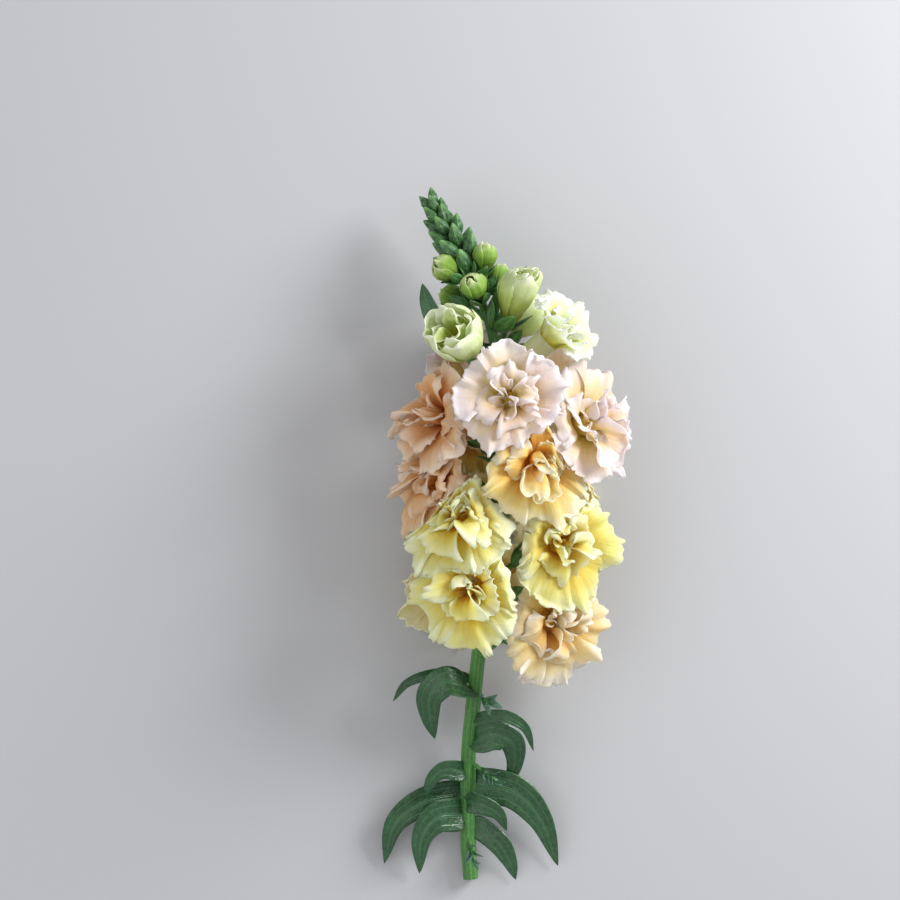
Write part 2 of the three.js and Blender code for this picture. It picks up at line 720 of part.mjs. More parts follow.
const blooms = BLOOMS.map((row) => makeHead(row, "open"));
const halfOpen = HALF_OPEN.map((row) => makeHead(row, "half"));
const buds = BUDS.map(([name, x, y, over, length, radius, tilt, rise, seed]) => {
  const head = makeHead([name, x, y, over, radius * 1.5, tilt, 0, rise, seed, "lime"], "bud");
  head.cupAt = Math.max(0.12, 1 - (0.56 * length + 2) / head.curve.getLength());
  head.cupSize = radius / 5.6;
  return head;
});
const heads = [...blooms, ...halfOpen, ...buds];
const keepOuts = heads.map((head) => ({ head, solid: headKeepOut(head) }));
const stemSpace = mainStem(GAP);

const budSolids = buds.map((head, i) => makeBud(head, heads, keepOuts, BUDS[i]));
for (const head of [...blooms, ...halfOpen]) {
  addNode(head.name, largestBody(clearOf(makeBloom(head, heads, keepOuts), [stemSpace])), head.colour);
}
buds.forEach((head, i) => addNode(head.name, budSolids[i], "lime"));
addNode("stem", makeStem(heads, buds.map((head, i) => makeBud(head, heads, [], BUDS[i], GAP))), "stem");

const laid = [stemSpace, ...keepOuts.map((k) => k.solid)];
for (const row of LEAVES) {
  addNode(row[0], largestBody(clearOf(makeLeaf(row), laid)), "leaf");
  laid.push(makeLeaf(row, GAP));
}
for (const row of SHOOTS) addNode(row[0], largestBody(clearOf(makeShoot(row), laid)), "leaf");

// The origin goes under the middle of the bounding box.
const box = new THREE.Box3().setFromObject(part);
for (const mesh of part.children) {
  mesh.geometry.translate(-(box.min.x + box.max.x) / 2, -(box.min.y + box.max.y) / 2, -FLOOR);
}

export default part;
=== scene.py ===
import math

import bpy
import numpy as np
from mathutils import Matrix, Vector


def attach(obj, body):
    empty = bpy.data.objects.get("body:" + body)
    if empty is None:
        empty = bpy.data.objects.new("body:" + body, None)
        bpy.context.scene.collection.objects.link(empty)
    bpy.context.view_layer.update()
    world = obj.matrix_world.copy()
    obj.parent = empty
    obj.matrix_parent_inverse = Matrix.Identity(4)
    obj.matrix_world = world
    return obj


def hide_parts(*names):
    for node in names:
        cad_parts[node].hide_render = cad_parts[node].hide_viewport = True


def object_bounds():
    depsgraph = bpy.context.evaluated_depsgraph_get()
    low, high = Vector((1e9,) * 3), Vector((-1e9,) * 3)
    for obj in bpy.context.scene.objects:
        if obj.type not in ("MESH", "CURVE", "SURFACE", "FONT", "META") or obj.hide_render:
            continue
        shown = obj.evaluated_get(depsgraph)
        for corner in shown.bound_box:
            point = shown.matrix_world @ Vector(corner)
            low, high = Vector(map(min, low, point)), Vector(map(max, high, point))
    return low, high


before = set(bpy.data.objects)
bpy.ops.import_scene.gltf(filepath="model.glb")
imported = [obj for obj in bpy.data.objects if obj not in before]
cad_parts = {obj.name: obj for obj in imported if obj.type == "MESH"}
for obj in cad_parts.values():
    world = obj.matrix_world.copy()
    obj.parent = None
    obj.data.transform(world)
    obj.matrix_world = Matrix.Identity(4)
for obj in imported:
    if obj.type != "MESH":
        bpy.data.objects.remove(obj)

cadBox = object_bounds()
mm = 0.001
fullTurn = 2 * math.pi
print("stage: frame loaded,", len(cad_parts), "nodes")

# where everything sits, in millimetres, before the shift to the frame
mainStem = {
    "path": [
        (8.75, -182.5, 3.5), (7.5, -165, 4.2), (7.5, -145.8, 7), (7.9, -125, 12.5), (10, -104.2, 19.5),
        (12.5, -81.25, 26.5), (18.75, -45.8, 30.5), (22.1, -20.8, 31), (23.75, 0, 31), (22.9, 20.8, 31),
        (18.3, 45.4, 30.5), (12.9, 62.5, 29.5), (2.1, 85.8, 26.5), (-3.75, 95.8, 25), (-8, 104, 23.5),
    ],
    "radii": [3.2, 3.1, 2.9, 2.4, 1.7, 0.9],  # even steps from the cut end to the tip
    "sides": 42, "steps": 140, "ridges": 7.0, "ridgeDepth": 0.045, "stalkRadius": 1.35, "stalkSteps": 16,
    "knots": 9, "swelling": 0.05,  # slight swellings where leaves leave it
}
# middle, height over the stem, reach, tilt, look up, how far back its stalk leaves, seed, palette
bloomPlaces = {
    "bloom_01": (23.5, 20.5, 27, 21, 12, 0.2, 15, 11, "blush"),
    "bloom_02": (54, 10, 8, 27, 18, 0.5, 15, 12, "blush"),
    "bloom_03": (-2.5, 13, 8, 24.5, 18, 0.35, 16, 13, "peach"),
    "bloom_04": (34.5, -5.5, 22, 28, 0, 0.3, 16, 14, "apricot"),
    "bloom_05": (-3.5, -11, 4, 27, 12, 0.5, 15, 15, "peach"),
    "bloom_06": (4.8, -28, 20.5, 28, 6, 0.8, 16, 16, "lemon"),
    "bloom_07": (45, -39, 13.5, 27, 2, 1.3, 15, 17, "lemon"),
    "bloom_08": (8.8, -56, 24, 26, 2, 0.4, 15, 18, "lemon"),
    "bloom_09": (42, -71.5, 7.5, 27.5, 0, 1.5, 14, 19, "buff"),
    "bloom_10": (4, -58, -21, 26, 4, -0.8, 14, 20, "cream"),
    "bloom_11": (33, -54, -22.5, 26, 4, -1.2, 14, 21, "cream"),
    "bloom_12": (7, -27, -23.5, 26, 4, -1.2, 14, 22, "cream"),
    "bloom_13": (42, -16, -22.5, 26, 4, -1.2, 14, 23, "cream"),
    "bloom_14": (11, 5, -22, 25, 6, -0.8, 14, 61, "cream"),
    "bloom_15": (40, 23, -20.5, 25, 8, -0.6, 14, 25, "blush"),
    "bloom_16": (8, 36, -15, 20, 14, 0, 14, 26, "blush"),
}
halfOpenPlaces = {
    "half_open_01": (7, 42.5, 12, 16.5, 50, 0.75, 12, 31, "lime"),
    "half_open_02": (41.5, 46.5, 11, 21, 24, 0.08, 19, 32, "limeCream"),
    "half_open_03": (30, 52, -13, 13, 34, 0, 14, 33, "lime"),
}
budPlaces = {  # middle, height over the stem, length, radius, tilt, look up, how far back, seed
    "bud_01": (27.5, 65, 10, 30, 8.6, 46, 0.32, 17, 41),
    "bud_02": (10, 67.5, 11.5, 13.5, 5.6, 44, 0.1, 9, 42),
    "bud_03": (-1.6, 75.5, 6, 12.5, 5.4, 40, 0, 9, 43),
    "bud_04": (14.6, 80, 8, 12, 4.9, 52, 0, 9, 44),
    "bud_05": (20, 72.5, -4, 13, 4.4, 50, 0, 9, 45),
    "bud_06": (1.5, 64, -9, 13, 5.2, 40, 0, 9, 46),
}
barrels = {  # half open heads still wrapped into a barrel: length, radius, how far it stands forward
    "half_open_01": (25, 12.2, 8),
    "half_open_03": (19, 9, 5),
}
stalkForm = {"pull": 0.36, "ahead": 0.9, "cupAt": 0.3, "budCupAt": 0.12, "budCupRadius": 5.6}
budSpan = {"foot": 0.56, "height": 1.03, "reach": 1.5}  # foot and height in lengths, reach in radii
crowding = {
    "gap": 0.35, "petalHalf": 0.4, "layerStep": 0.95, "shingle": 0.9, "lift": 0.1, "give": 0.9,
    "openLead": 60, "frontLead": 0.7, "spare": 1.4, "halfHold": 0.5, "farOff": -5,
    "rounds": 8, "liftRounds": 3, "floor": 0.5, "layerFloor": 0.4,
    # upper lobes pressed short by the bloom above
    "upperShort": {"bloom_06": 0.34, "bloom_08": 0.2, "bloom_09": 0.2},
}


def dice(seed):
    state = (seed * 2654435761) & 0xFFFFFFFF

    def roll():
        nonlocal state
        state = (state + 0x6D2B79F5) & 0xFFFFFFFF
        t = ((state ^ (state >> 15)) * (1 | state)) & 0xFFFFFFFF
        t = ((t + (((t ^ (t >> 7)) * (61 | t)) & 0xFFFFFFFF)) & 0xFFFFFFFF) ^ t
        return (t ^ (t >> 14)) / 4294967296

    return roll


def unit(v):
    return v / np.linalg.norm(v, axis=-1, keepdims=True)


def squareTo(direction, wish):
    return unit(wish - (wish * direction).sum(-1, keepdims=True) * direction)


def between(a, b, t):
    return a + (b - a) * t


def smooth(x, low, high):
    t = np.clip((x - low) / (high - low), 0, 1)
    return t * t * (3 - 2 * t)


def bowLine(start, bow, end, count):
    t = np.linspace(0, 1, count)[:, None]
    return start * (1 - t) ** 2 + 2 * bow * t * (1 - t) + end * t**2


def splinePoints(points, count):
    # centripetal Catmull-Rom through the points, evenly stepped from point to point
    p = np.array(points, float)
    p = np.vstack([2 * p[0] - p[1], p, 2 * p[-1] - p[-2]])
    spans = len(p) - 3
    at = np.linspace(0, 1, count) * spans
    i = np.minimum(at.astype(int), spans - 1)
    w = (at - i)[:, None]
    step = np.sqrt(np.linalg.norm(np.diff(p, axis=0), axis=1))
    a, b, c, d = p[i], p[i + 1], p[i + 2], p[i + 3]
    s0, s1, s2 = step[i][:, None], step[i + 1][:, None], step[i + 2][:, None]
    t1 = ((b - a) / s0 - (c - a) / (s0 + s1) + (c - b) / s1) * s1
    t2 = ((c - b) / s1 - (d - b) / (s1 + s2) + (d - c) / s2) * s1
    return b + t1 * w + (3 * (c - b) - 2 * t1 - t2) * w**2 + (2 * (b - c) + t1 + t2) * w**3


stemLine = splinePoints(mainStem["path"], 2801)
stemAhead = unit(np.gradient(stemLine, axis=0))


def stemAt(y):
    share = np.interp(y, stemLine[:, 1], np.arange(len(stemLine)))
    i, w = int(share), share - int(share)
    j = min(i + 1, len(stemLine) - 1)
    centre = stemLine[i] * (1 - w) + stemLine[j] * w
    ahead = unit(stemAhead[i] * (1 - w) + stemAhead[j] * w)
    up = squareTo(ahead, np.array([0, 0, 1.0]))
    return centre, ahead, up, np.cross(ahead, up)


def onStalk(head, t):
    a, b, c, d = head["stalk"]
    t = np.atleast_1d(t)[:, None]
    point = a * (1 - t) ** 3 + 3 * b * t * (1 - t) ** 2 + 3 * c * t**2 * (1 - t) + d * t**3
    way = 3 * (b - a) * (1 - t) ** 2 + 6 * (c - b) * t * (1 - t) + 3 * (d - c) * t**2
    return point, unit(way)


# the frame's own stem gives the shift from these millimetres to its place
cutEnd = np.array([v.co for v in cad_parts["stem"].data.vertices])
cutEnd = cutEnd[cutEnd[:, 1] < cutEnd[:, 1].min() + 0.001].mean(0) / mm
shift = np.array([cutEnd[0] - mainStem["path"][0][0], cutEnd[1] - mainStem["path"][0][1], 0])
print("stage: shift", shift.round(2))


# heads: where each bloom or bud sits, which way it faces and the stalk that carries it
def makeHead(name, place, kind):
    x, y, over, reach, tilt, look, back, seed, palette = place
    root, ahead, up, _ = stemAt(y)
    centre = np.array([x, y, root[2] + over])
    out = centre - root
    out = unit(out - out @ ahead * ahead)
    lean = math.radians(tilt)
    facing = unit(out * math.cos(lean) + ahead * math.sin(lean) + up * look)
    foot, footAhead, _, _ = stemAt(y - back)
    pull = np.linalg.norm(centre - foot) * stalkForm["pull"]
    leaves = unit(out + stalkForm["ahead"] * footAhead)
    upper = squareTo(facing, ahead)
    head = {
        "name": name, "centre": centre, "facing": facing, "upper": upper, "side": np.cross(facing, upper),
        "stalk": [foot, foot + leaves * pull, centre - facing * pull, centre],
        "kind": kind, "wrapped": kind == "bud" or name in barrels, "reach": reach, "over": over, "seed": seed,
        "palette": palette, "turnBy": dice(seed)(), "crowded": crowding["upperShort"].get(name, 0),
        "cupAt": stalkForm["cupAt"], "cupSize": 1.0,
    }
    fine, _ = onStalk(head, np.linspace(0, 1, 200))
    head["stalkLength"] = np.linalg.norm(np.diff(fine, axis=0), axis=1).sum()
    if name in barrels:
        head["length"], head["radius"], head["forward"] = barrels[name]
    return head


def makeHeads():
    heads = [makeHead(name, place, "open") for name, place in bloomPlaces.items()]
    heads += [makeHead(name, place, "half") for name, place in halfOpenPlaces.items()]
    for name, (x, y, over, length, radius, tilt, look, back, seed) in budPlaces.items():
        place = (x, y, over, radius * budSpan["reach"], tilt, look, back, seed, "lime")
        head = makeHead(name, place, "bud")
        head["cupAt"] = max(stalkForm["budCupAt"], 1 - (budSpan["foot"] * length + 2) / head["stalkLength"])
        head.update(cupSize=radius / stalkForm["budCupRadius"], length=length, radius=radius, forward=0)
        heads.append(head)
    low, high = (np.array(corner) / mm - shift for corner in cadBox)
    limits = (((1, 0, 0), high[0]), ((-1, 0, 0), -low[0]), ((0, 0, 1), high[2]))
    sides = [(np.array(way, float), limit + crowding["spare"]) for way, limit in limits]
    for head in heads:
        head["walls"] = [wallBetween(head, other) for other in heads if other is not head] + sides
    return heads


def liesOver(head):
    # a bloom nearer the tip and the front lies over the next, and an open one over a bud
    lead = crowding["openLead"] if head["kind"] == "open" else 0
    return head["centre"][1] + crowding["frontLead"] * head["centre"][2] + lead


def wallBetween(head, other):
    # the leaning plane where two blooms meet
    across = other["centre"] - head["centre"]
    distance = np.linalg.norm(across)
    across = across / distance
    point = head["centre"] + across * distance * head["reach"] / (head["reach"] + other["reach"])
    facing = squareTo(across, head["facing"] + other["facing"])
    lean = -crowding["shingle"] if liesOver(head) > liesOver(other) else crowding["shingle"]
    normal = unit(across + facing * lean)
    return normal, point @ normal


def keepInCell(points, head, back, soft=1.8):
    p = points.reshape(-1, 3).copy()
    back = np.broadcast_to(back, points.shape[:-1]).reshape(-1)
    for turn in range(crowding["rounds"]):
        for normal, limit in head["walls"]:
            past = p @ normal - (limit - back)
            if past.max() < crowding["farOff"]:
                continue
            push = soft * np.logaddexp(0, past / soft) if turn == 0 else np.maximum(past, 0)
            p -= push[:, None] * normal
            if turn < crowding["liftRounds"]:
                p += (push * crowding["lift"])[:, None] * head["facing"]
        p[:, 2] = np.maximum(p[:, 2], crowding["floor"] + back * crowding["layerFloor"])
    return p.reshape(points.shape)


# shells: a sheet of points given a thickness, closed all round, gathered into one piece
def newStore():
    return {"verts": [], "faces": [], "slots": [], "marks": {}, "count": 0}


def gather(store, points, faces, slot, marks):
    store["verts"] += points
    store["faces"].append(faces)
    store["slots"].append(np.full(len(faces), slot))
    for key, values in marks.items():
        store["marks"].setdefault(key, []).append(values)
    store["count"] += sum(len(part) for part in points)


def sheetNormals(grid, wrap):
    du = np.roll(grid, -1, 1) - np.roll(grid, 1, 1) if wrap else np.gradient(grid, axis=1)
    n = np.cross(du, np.gradient(grid, axis=0))
    return n / np.maximum(np.linalg.norm(n, axis=-1, keepdims=True), 1e-9)


def addShell(store, grid, half, along, across=0.0, roll=0.5, wrap=False):
    rows, cols = grid.shape[:2]
    size = rows * cols
    rise = sheetNormals(grid, wrap) * np.broadcast_to(half, (rows, cols))[..., None]
    ids = np.arange(size).reshape(rows, cols) + store["count"]
    other = ids + size
    a, c = (ids, other) if wrap else (ids[:, :-1], other[:, :-1])
    b, d = (np.roll(sheet, -1, 1) if wrap else sheet[:, 1:] for sheet in (ids, other))
    quads = [
        np.stack([a[:-1], b[:-1], b[1:], a[1:]], -1).reshape(-1, 4),
        np.stack([d[:-1], c[:-1], c[1:], d[1:]], -1).reshape(-1, 4),
        np.stack([c[0], d[0], b[0], a[0]], -1),
        np.stack([a[-1], b[-1], d[-1], c[-1]], -1),
    ]
    if not wrap:
        quads.append(np.stack([other[:-1, 0], ids[:-1, 0], ids[1:, 0], other[1:, 0]], -1))
        quads.append(np.stack([ids[:-1, -1], other[:-1, -1], other[1:, -1], ids[1:, -1]], -1))
    marks = {"under": np.repeat([0.0, 1.0], size)}
    for key, value in (("along", along), ("across", across), ("roll", roll)):
        sides = value if isinstance(value, tuple) else (value, value)  # a pair marks front and rear apart
        marks[key] = np.concatenate([np.broadcast_to(side, (rows, cols)).reshape(-1) for side in sides])
    gather(store, [(grid + rise).reshape(-1, 3), (grid - rise).reshape(-1, 3)], np.vstack(quads), 0, marks)


def addSolid(store, rings, first, last, slot):
    # rings of equal length closed by a pole at each end
    rows, cols = rings.shape[:2]
    ids = np.arange(rows * cols).reshape(rows, cols) + store["count"]
    nextIds = np.roll(ids, -1, 1)
    quads = np.stack([ids[:-1], nextIds[:-1], nextIds[1:], ids[1:]], -1).reshape(-1, 4)
    low, high = store["count"] + rows * cols, store["count"] + rows * cols + 1
    caps = [(low, nextIds[0, j], ids[0, j], low) for j in range(cols)]
    caps += [(high, ids[-1, j], nextIds[-1, j], high) for j in range(cols)]
    plain = {"along": 0.5, "across": 0, "roll": 0, "under": 0}
    marks = {key: np.full(rows * cols + 2, value) for key, value in plain.items()}
    gather(store, [rings.reshape(-1, 3), np.array([first, last])], np.vstack([quads, caps]), slot, marks)


def placeObject(name, data):
    placed = bpy.data.objects.new(name, data)
    bpy.context.scene.collection.objects.link(placed)
    return placed


def settle(piece, replaced):
    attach(piece, "root")
    if replaced:
        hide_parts(*replaced)


def makePiece(name, store, materials, replaced):
    verts = (np.vstack(store["verts"]) + shift) * mm
    faces = np.vstack(store["faces"])
    lists = [f[:3].tolist() if f[0] == f[3] else f.tolist() for f in faces]
    mesh = bpy.data.meshes.new(name)
    mesh.from_pydata(verts.tolist(), [], lists)
    mesh.polygons.foreach_set("use_smooth", np.ones(len(faces), bool))
    mesh.polygons.foreach_set("material_index", np.concatenate(store["slots"]).astype(np.int32))
    for key, values in store["marks"].items():
        layer = mesh.attributes.new(key, "FLOAT", "POINT")
        layer.data.foreach_set("value", np.concatenate(values).astype(np.float32))
    for material in materials:
        mesh.materials.append(material)
    mesh.update()
    settle(placeObject(name, mesh), replaced)


def addNode(tree, kind, inputs=None, **settings):
    node = tree.nodes.new(kind)
    for key, value in settings.items():
        setattr(node, key, value)
    for key, value in (inputs or {}).items():
        if hasattr(value, "is_linked"):
            tree.links.new(value, node.inputs[key])
        else:
            node.inputs[key].default_value = value
    return node


def calc(tree, operation, *values):
    return addNode(tree, "ShaderNodeMath", dict(enumerate(values)), operation=operation).outputs[0]


def rangeOf(tree, value, low, high):
    return addNode(tree, "ShaderNodeMapRange", {0: value, 1: low, 2: high}).outputs[0]


def ramp(tree, factor, places, colours):
    node = addNode(tree, "ShaderNodeValToRGB", {0: factor})
    elements = node.color_ramp.elements
    while len(elements) < len(places):
        elements.new(0.5)
    for element, at, colour in zip(elements, places, colours):
        element.position = at
        element.color = (*colour, 1)
    return node.outputs[0]


def mixColours(tree, mask, share, a, b, blend="MIX"):
    # b laid over a, as far as the mask and its share let it
    a, b = ((*colour, 1) if isinstance(colour, tuple) else colour for colour in (a, b))
    inputs = {0: calc(tree, "MULTIPLY", mask, share), 6: a, 7: b}
    return addNode(tree, "ShaderNodeMix", inputs, data_type="RGBA", blend_type=blend).outputs[2]


def mark(tree, name):
    return addNode(tree, "ShaderNodeAttribute", attribute_name=name).outputs["Fac"]


def newGroup(name, inputs, outputs):
    group = bpy.data.node_groups.new(name, "ShaderNodeTree")
    for socketName, value in inputs.items():
        socket = group.interface.new_socket(socketName, in_out="INPUT", socket_type="NodeSocketFloat")
        socket.default_value = value
    for socketName in outputs:
        group.interface.new_socket(socketName, in_out="OUTPUT", socket_type="NodeSocketFloat")
    return group, group.nodes.new("NodeGroupInput").outputs, group.nodes.new("NodeGroupOutput").inputs


def useGroup(tree, group, **inputs):
    return addNode(tree, "ShaderNodeGroup", inputs, node_tree=group).outputs


def objectPlace(tree):
    return addNode(tree, "ShaderNodeTexCoord").outputs["Object"]


veinForm = {
    "stretch": 2.2, "apart": 37.0, "detail": 3.0, "bend": 0.4, "from": 0.42, "to": 0.62, "grainScale": 1900.0,
}


def makeVeinGroup():
    # fine lines that run from root to edge and fade before they reach it
    given = {"along": 0, "across": 0, "roll": 0, "lines": 14}
    group, given, result = newGroup("bladeVeins", given, ["veins", "grain"])
    spread = calc(group, "MULTIPLY", given["across"], given["lines"])
    length = calc(group, "MULTIPLY", given["along"], veinForm["stretch"])
    seed = calc(group, "MULTIPLY", given["roll"], veinForm["apart"])
    place = addNode(group, "ShaderNodeCombineXYZ", {0: spread, 1: length, 2: seed}).outputs[0]
    settings = {"Vector": place, "Scale": 1.0, "Detail": veinForm["detail"], "Distortion": veinForm["bend"]}
    noise = addNode(group, "ShaderNodeTexNoise", settings)
    soft = rangeOf(group, noise.outputs["Fac"], veinForm["from"], veinForm["to"])
    fade = rangeOf(group, given["along"], 1.0, 0.45)
    group.links.new(calc(group, "MULTIPLY", soft, fade), result["veins"])
    settings = {"Vector": objectPlace(group), "Scale": veinForm["grainScale"], "Detail": 2.0}
    group.links.new(addNode(group, "ShaderNodeTexNoise", settings).outputs["Fac"], result["grain"])
    return group


def makeMottleGroup():
    # soft patches, of a size in millimetres
    group, given, result = newGroup("softPatches", {"size": 12, "seed": 0}, ["patches"])
    scale = calc(group, "DIVIDE", 1000.0, given["size"])
    settings = {"Vector": objectPlace(group), "W": given["seed"], "Scale": scale, "Detail": 2.0}
    noise = addNode(group, "ShaderNodeTexNoise", settings, noise_dimensions="4D")
    group.links.new(rangeOf(group, noise.outputs["Fac"], 0.35, 0.65), result["patches"])
    return group


veinGroup = makeVeinGroup()
mottleGroup = makeMottleGroup()


bumpDepth = 0.0003  # metres


def newSkin(name):
    material = bpy.data.materials.new(name)
    material.use_nodes = True
    material.node_tree.nodes.clear()
    return material, material.node_tree


def finishSkin(tree, look, colour, height, rough):
    inputs = {"Strength": look["bump"], "Distance": bumpDepth, "Height": height}
    bump = addNode(tree, "ShaderNodeBump", inputs).outputs[0]
    skin = addNode(tree, "ShaderNodeBsdfPrincipled", {
        "Base Color": colour, "Roughness": rough, "Normal": bump, "Specular IOR Level": look["gloss"],
        "Sheen Weight": look["bloom"], "Sheen Roughness": look["softness"],
        "Sheen Tint": (*look["bloomTint"], 1),
    })
    glow = addNode(tree, "ShaderNodeBsdfTranslucent", {"Color": colour, "Normal": bump})
    both = addNode(tree, "ShaderNodeMixShader", {0: look["glow"], 1: skin.outputs[0], 2: glow.outputs[0]})
    addNode(tree, "ShaderNodeOutputMaterial", {0: both.outputs[0]})


palettes = {  # throat, middle, body, edge, warm patches; as seen on a screen
    "blush": (
        (0.93, 0.87, 0.36), (0.975, 0.93, 0.70), (0.98, 0.94, 0.90), (0.98, 0.96, 0.97), (0.98, 0.83, 0.80),
    ),
    "peach": (
        (0.93, 0.64, 0.20), (0.96, 0.79, 0.46), (0.97, 0.87, 0.70), (0.99, 0.945, 0.89), (0.97, 0.76, 0.60),
    ),
    "buff": (
        (0.95, 0.74, 0.24), (0.975, 0.87, 0.52), (0.98, 0.94, 0.76), (0.985, 0.97, 0.93), (0.975, 0.81, 0.69),
    ),
    "apricot": (
        (0.95, 0.66, 0.14), (0.97, 0.82, 0.36), (0.98, 0.93, 0.64), (0.985, 0.975, 0.90), (0.965, 0.77, 0.50),
    ),
    "lemon": (
        (0.96, 0.74, 0.18), (0.975, 0.91, 0.40), (0.97, 0.965, 0.68), (0.98, 0.99, 0.91), (0.965, 0.84, 0.48),
    ),
    "cream": (
        (0.86, 0.66, 0.16), (0.96, 0.89, 0.46), (0.975, 0.955, 0.76), (0.99, 0.98, 0.87), (0.98, 0.86, 0.70),
    ),
    "lime": (
        (0.90, 0.84, 0.26), (0.87, 0.93, 0.55), (0.93, 0.965, 0.79), (0.985, 0.985, 0.95), (0.94, 0.94, 0.66),
    ),
    "limeCream": (
        (0.90, 0.84, 0.20), (0.95, 0.95, 0.66), (0.97, 0.98, 0.93), (0.985, 0.99, 0.98), (0.90, 0.95, 0.76),
    ),
    "budLime": (
        (0.20, 0.44, 0.15), (0.44, 0.67, 0.22), (0.70, 0.84, 0.40), (0.94, 0.965, 0.80), (0.82, 0.87, 0.44),
    ),
}
pollenColours = (
    (0.93, 0.82, 0.34), (0.97, 0.90, 0.48), (0.98, 0.94, 0.62), (0.99, 0.96, 0.72), (0.97, 0.86, 0.40),
)
petalLook = {
    "lines": 16.0, "veinTint": 0.3, "patchTint": 0.3, "bump": 0.5, "rough": 0.48, "roughSwing": 0.12,
    "gloss": 0.32, "bloom": 0.12, "softness": 0.4, "bloomTint": (1, 1, 1), "glow": 0.54,
    "grain": 0.25, "buckle": 1.3, "uneven": 0.14, "petalSwing": 0.16, "colourAt": (0.05, 0.32, 0.68, 0.97),
}


def makePetalMaterial(name, palette):
    throat, middle, body, edge, blush = (tuple(c**2.2 for c in colour) for colour in palette)
    material, tree = newSkin(name)
    along, across, roll = mark(tree, "along"), mark(tree, "across"), mark(tree, "roll")
    marks = useGroup(tree, veinGroup, along=along, across=across, roll=roll, lines=petalLook["lines"])
    patches = useGroup(tree, mottleGroup, size=16.0, seed=3.0)["patches"]
    small = useGroup(tree, mottleGroup, size=4.0, seed=8.0)["patches"]
    uneven = along
    for value, share in ((small, petalLook["uneven"]), (roll, petalLook["petalSwing"])):
        uneven = calc(tree, "MULTIPLY_ADD", calc(tree, "SUBTRACT", value, 0.5), share, uneven)
    colour = ramp(tree, uneven, petalLook["colourAt"], (throat, middle, body, edge))
    tinted = calc(tree, "MULTIPLY", patches, petalLook["patchTint"])
    colour = mixColours(tree, tinted, rangeOf(tree, along, 1.0, 0.5), colour, blush)
    colour = mixColours(tree, marks["veins"], petalLook["veinTint"], colour, middle, "MULTIPLY")
    height = calc(tree, "MULTIPLY_ADD", marks["grain"], petalLook["grain"], marks["veins"])
    height = calc(tree, "MULTIPLY_ADD", small, petalLook["buckle"], height)
    rough = calc(tree, "MULTIPLY_ADD", small, petalLook["roughSwing"], petalLook["rough"])
    finishSkin(tree, petalLook, colour, height, rough)
    return material


plainGreen = {
    "bump": 0.45, "roughSwing": 0.14, "softness": 0.35, "bloomTint": (0.7, 0.9, 0.95),
    "endTint": 0.0, "underTint": 0.0, "freshTint": 0.7, "fineTint": 0.22, "veinDip": -0.9,
}
greenLooks = {
    "stemSkin": {
        **plainGreen,
        "deep": (0.022, 0.115, 0.022), "fresh": (0.055, 0.21, 0.035), "pale": (0.17, 0.38, 0.09),
        "under": (0.06, 0.2, 0.04), "patchSize": 30.0, "rib": 0.01, "ribTint": 0.0, "ribDip": 0.0,
        "rough": 0.36, "gloss": 0.5, "bloom": 0.08, "glow": 0.03, "lines": 16.0, "lineTint": 0.5,
    },
    "leafBlade": {
        **plainGreen,
        "deep": (0.008, 0.050, 0.014), "fresh": (0.018, 0.095, 0.022), "pale": (0.10, 0.27, 0.11),
        "under": (0.10, 0.25, 0.16), "underTint": 0.6, "patchSize": 18.0, "rib": 0.06, "ribTint": 0.6,
        "ribDip": -1.8, "rough": 0.27, "gloss": 0.65, "bloom": 0.16, "glow": 0.10, "lines": 7.0,
        "lineTint": 0.22,
    },
    "tightBud": {
        **plainGreen,
        "deep": (0.005, 0.038, 0.013), "fresh": (0.014, 0.085, 0.024), "pale": (0.22, 0.46, 0.14),
        "under": (0.1, 0.3, 0.1), "patchSize": 5.0, "rib": 0.2, "ribTint": 0.1, "ribDip": 0.4,
        "endTint": 0.7, "rough": 0.3, "gloss": 0.42, "bloom": 0.03, "glow": 0.05, "lines": 9.0,
        "lineTint": 0.3,
    },
    "calyx": {
        **plainGreen,
        "deep": (0.022, 0.115, 0.025), "fresh": (0.06, 0.23, 0.045), "pale": (0.26, 0.46, 0.15),
        "under": (0.12, 0.32, 0.08), "underTint": 0.3, "patchSize": 7.0, "rib": 0.1, "ribTint": 0.35,
        "ribDip": 0.6, "endTint": 0.4, "rough": 0.38, "gloss": 0.45, "bloom": 0.1, "glow": 0.1,
        "lines": 5.0, "lineTint": 0.35,
    },
}


def makeGreenMaterial(name, look):
    material, tree = newSkin(name)
    along, across, under = mark(tree, "along"), mark(tree, "across"), mark(tree, "under")
    patches = useGroup(tree, mottleGroup, size=look["patchSize"], seed=5.0)["patches"]
    fine = useGroup(tree, mottleGroup, size=1.3, seed=2.0)["patches"]
    fromMiddle = calc(tree, "ABSOLUTE", across)
    rib = rangeOf(tree, fromMiddle, look["rib"], 0.0)
    # long veins run beside the midrib and meet at the tip
    wave = calc(tree, "SINE", calc(tree, "MULTIPLY", fromMiddle, look["lines"] * 2))
    vein = rangeOf(tree, wave, 0.55, 1.0)
    colour = mixColours(tree, patches, look["freshTint"], look["deep"], look["fresh"])
    for mask, share, over in (
        (fine, "fineTint", "pale"), (rib, "ribTint", "pale"), (vein, "lineTint", "pale"),
        (under, "underTint", "under"), (rangeOf(tree, along, 0.78, 1.0), "endTint", "pale"),
    ):
        colour = mixColours(tree, mask, look[share], colour, look[over])
    height = calc(tree, "MULTIPLY_ADD", vein, look["veinDip"], fine)
    height = calc(tree, "MULTIPLY_ADD", rib, look["ribDip"], height)
    rough = calc(tree, "MULTIPLY_ADD", patches, look["roughSwing"], look["rough"])
    finishSkin(tree, look, colour, height, rough)
    return material


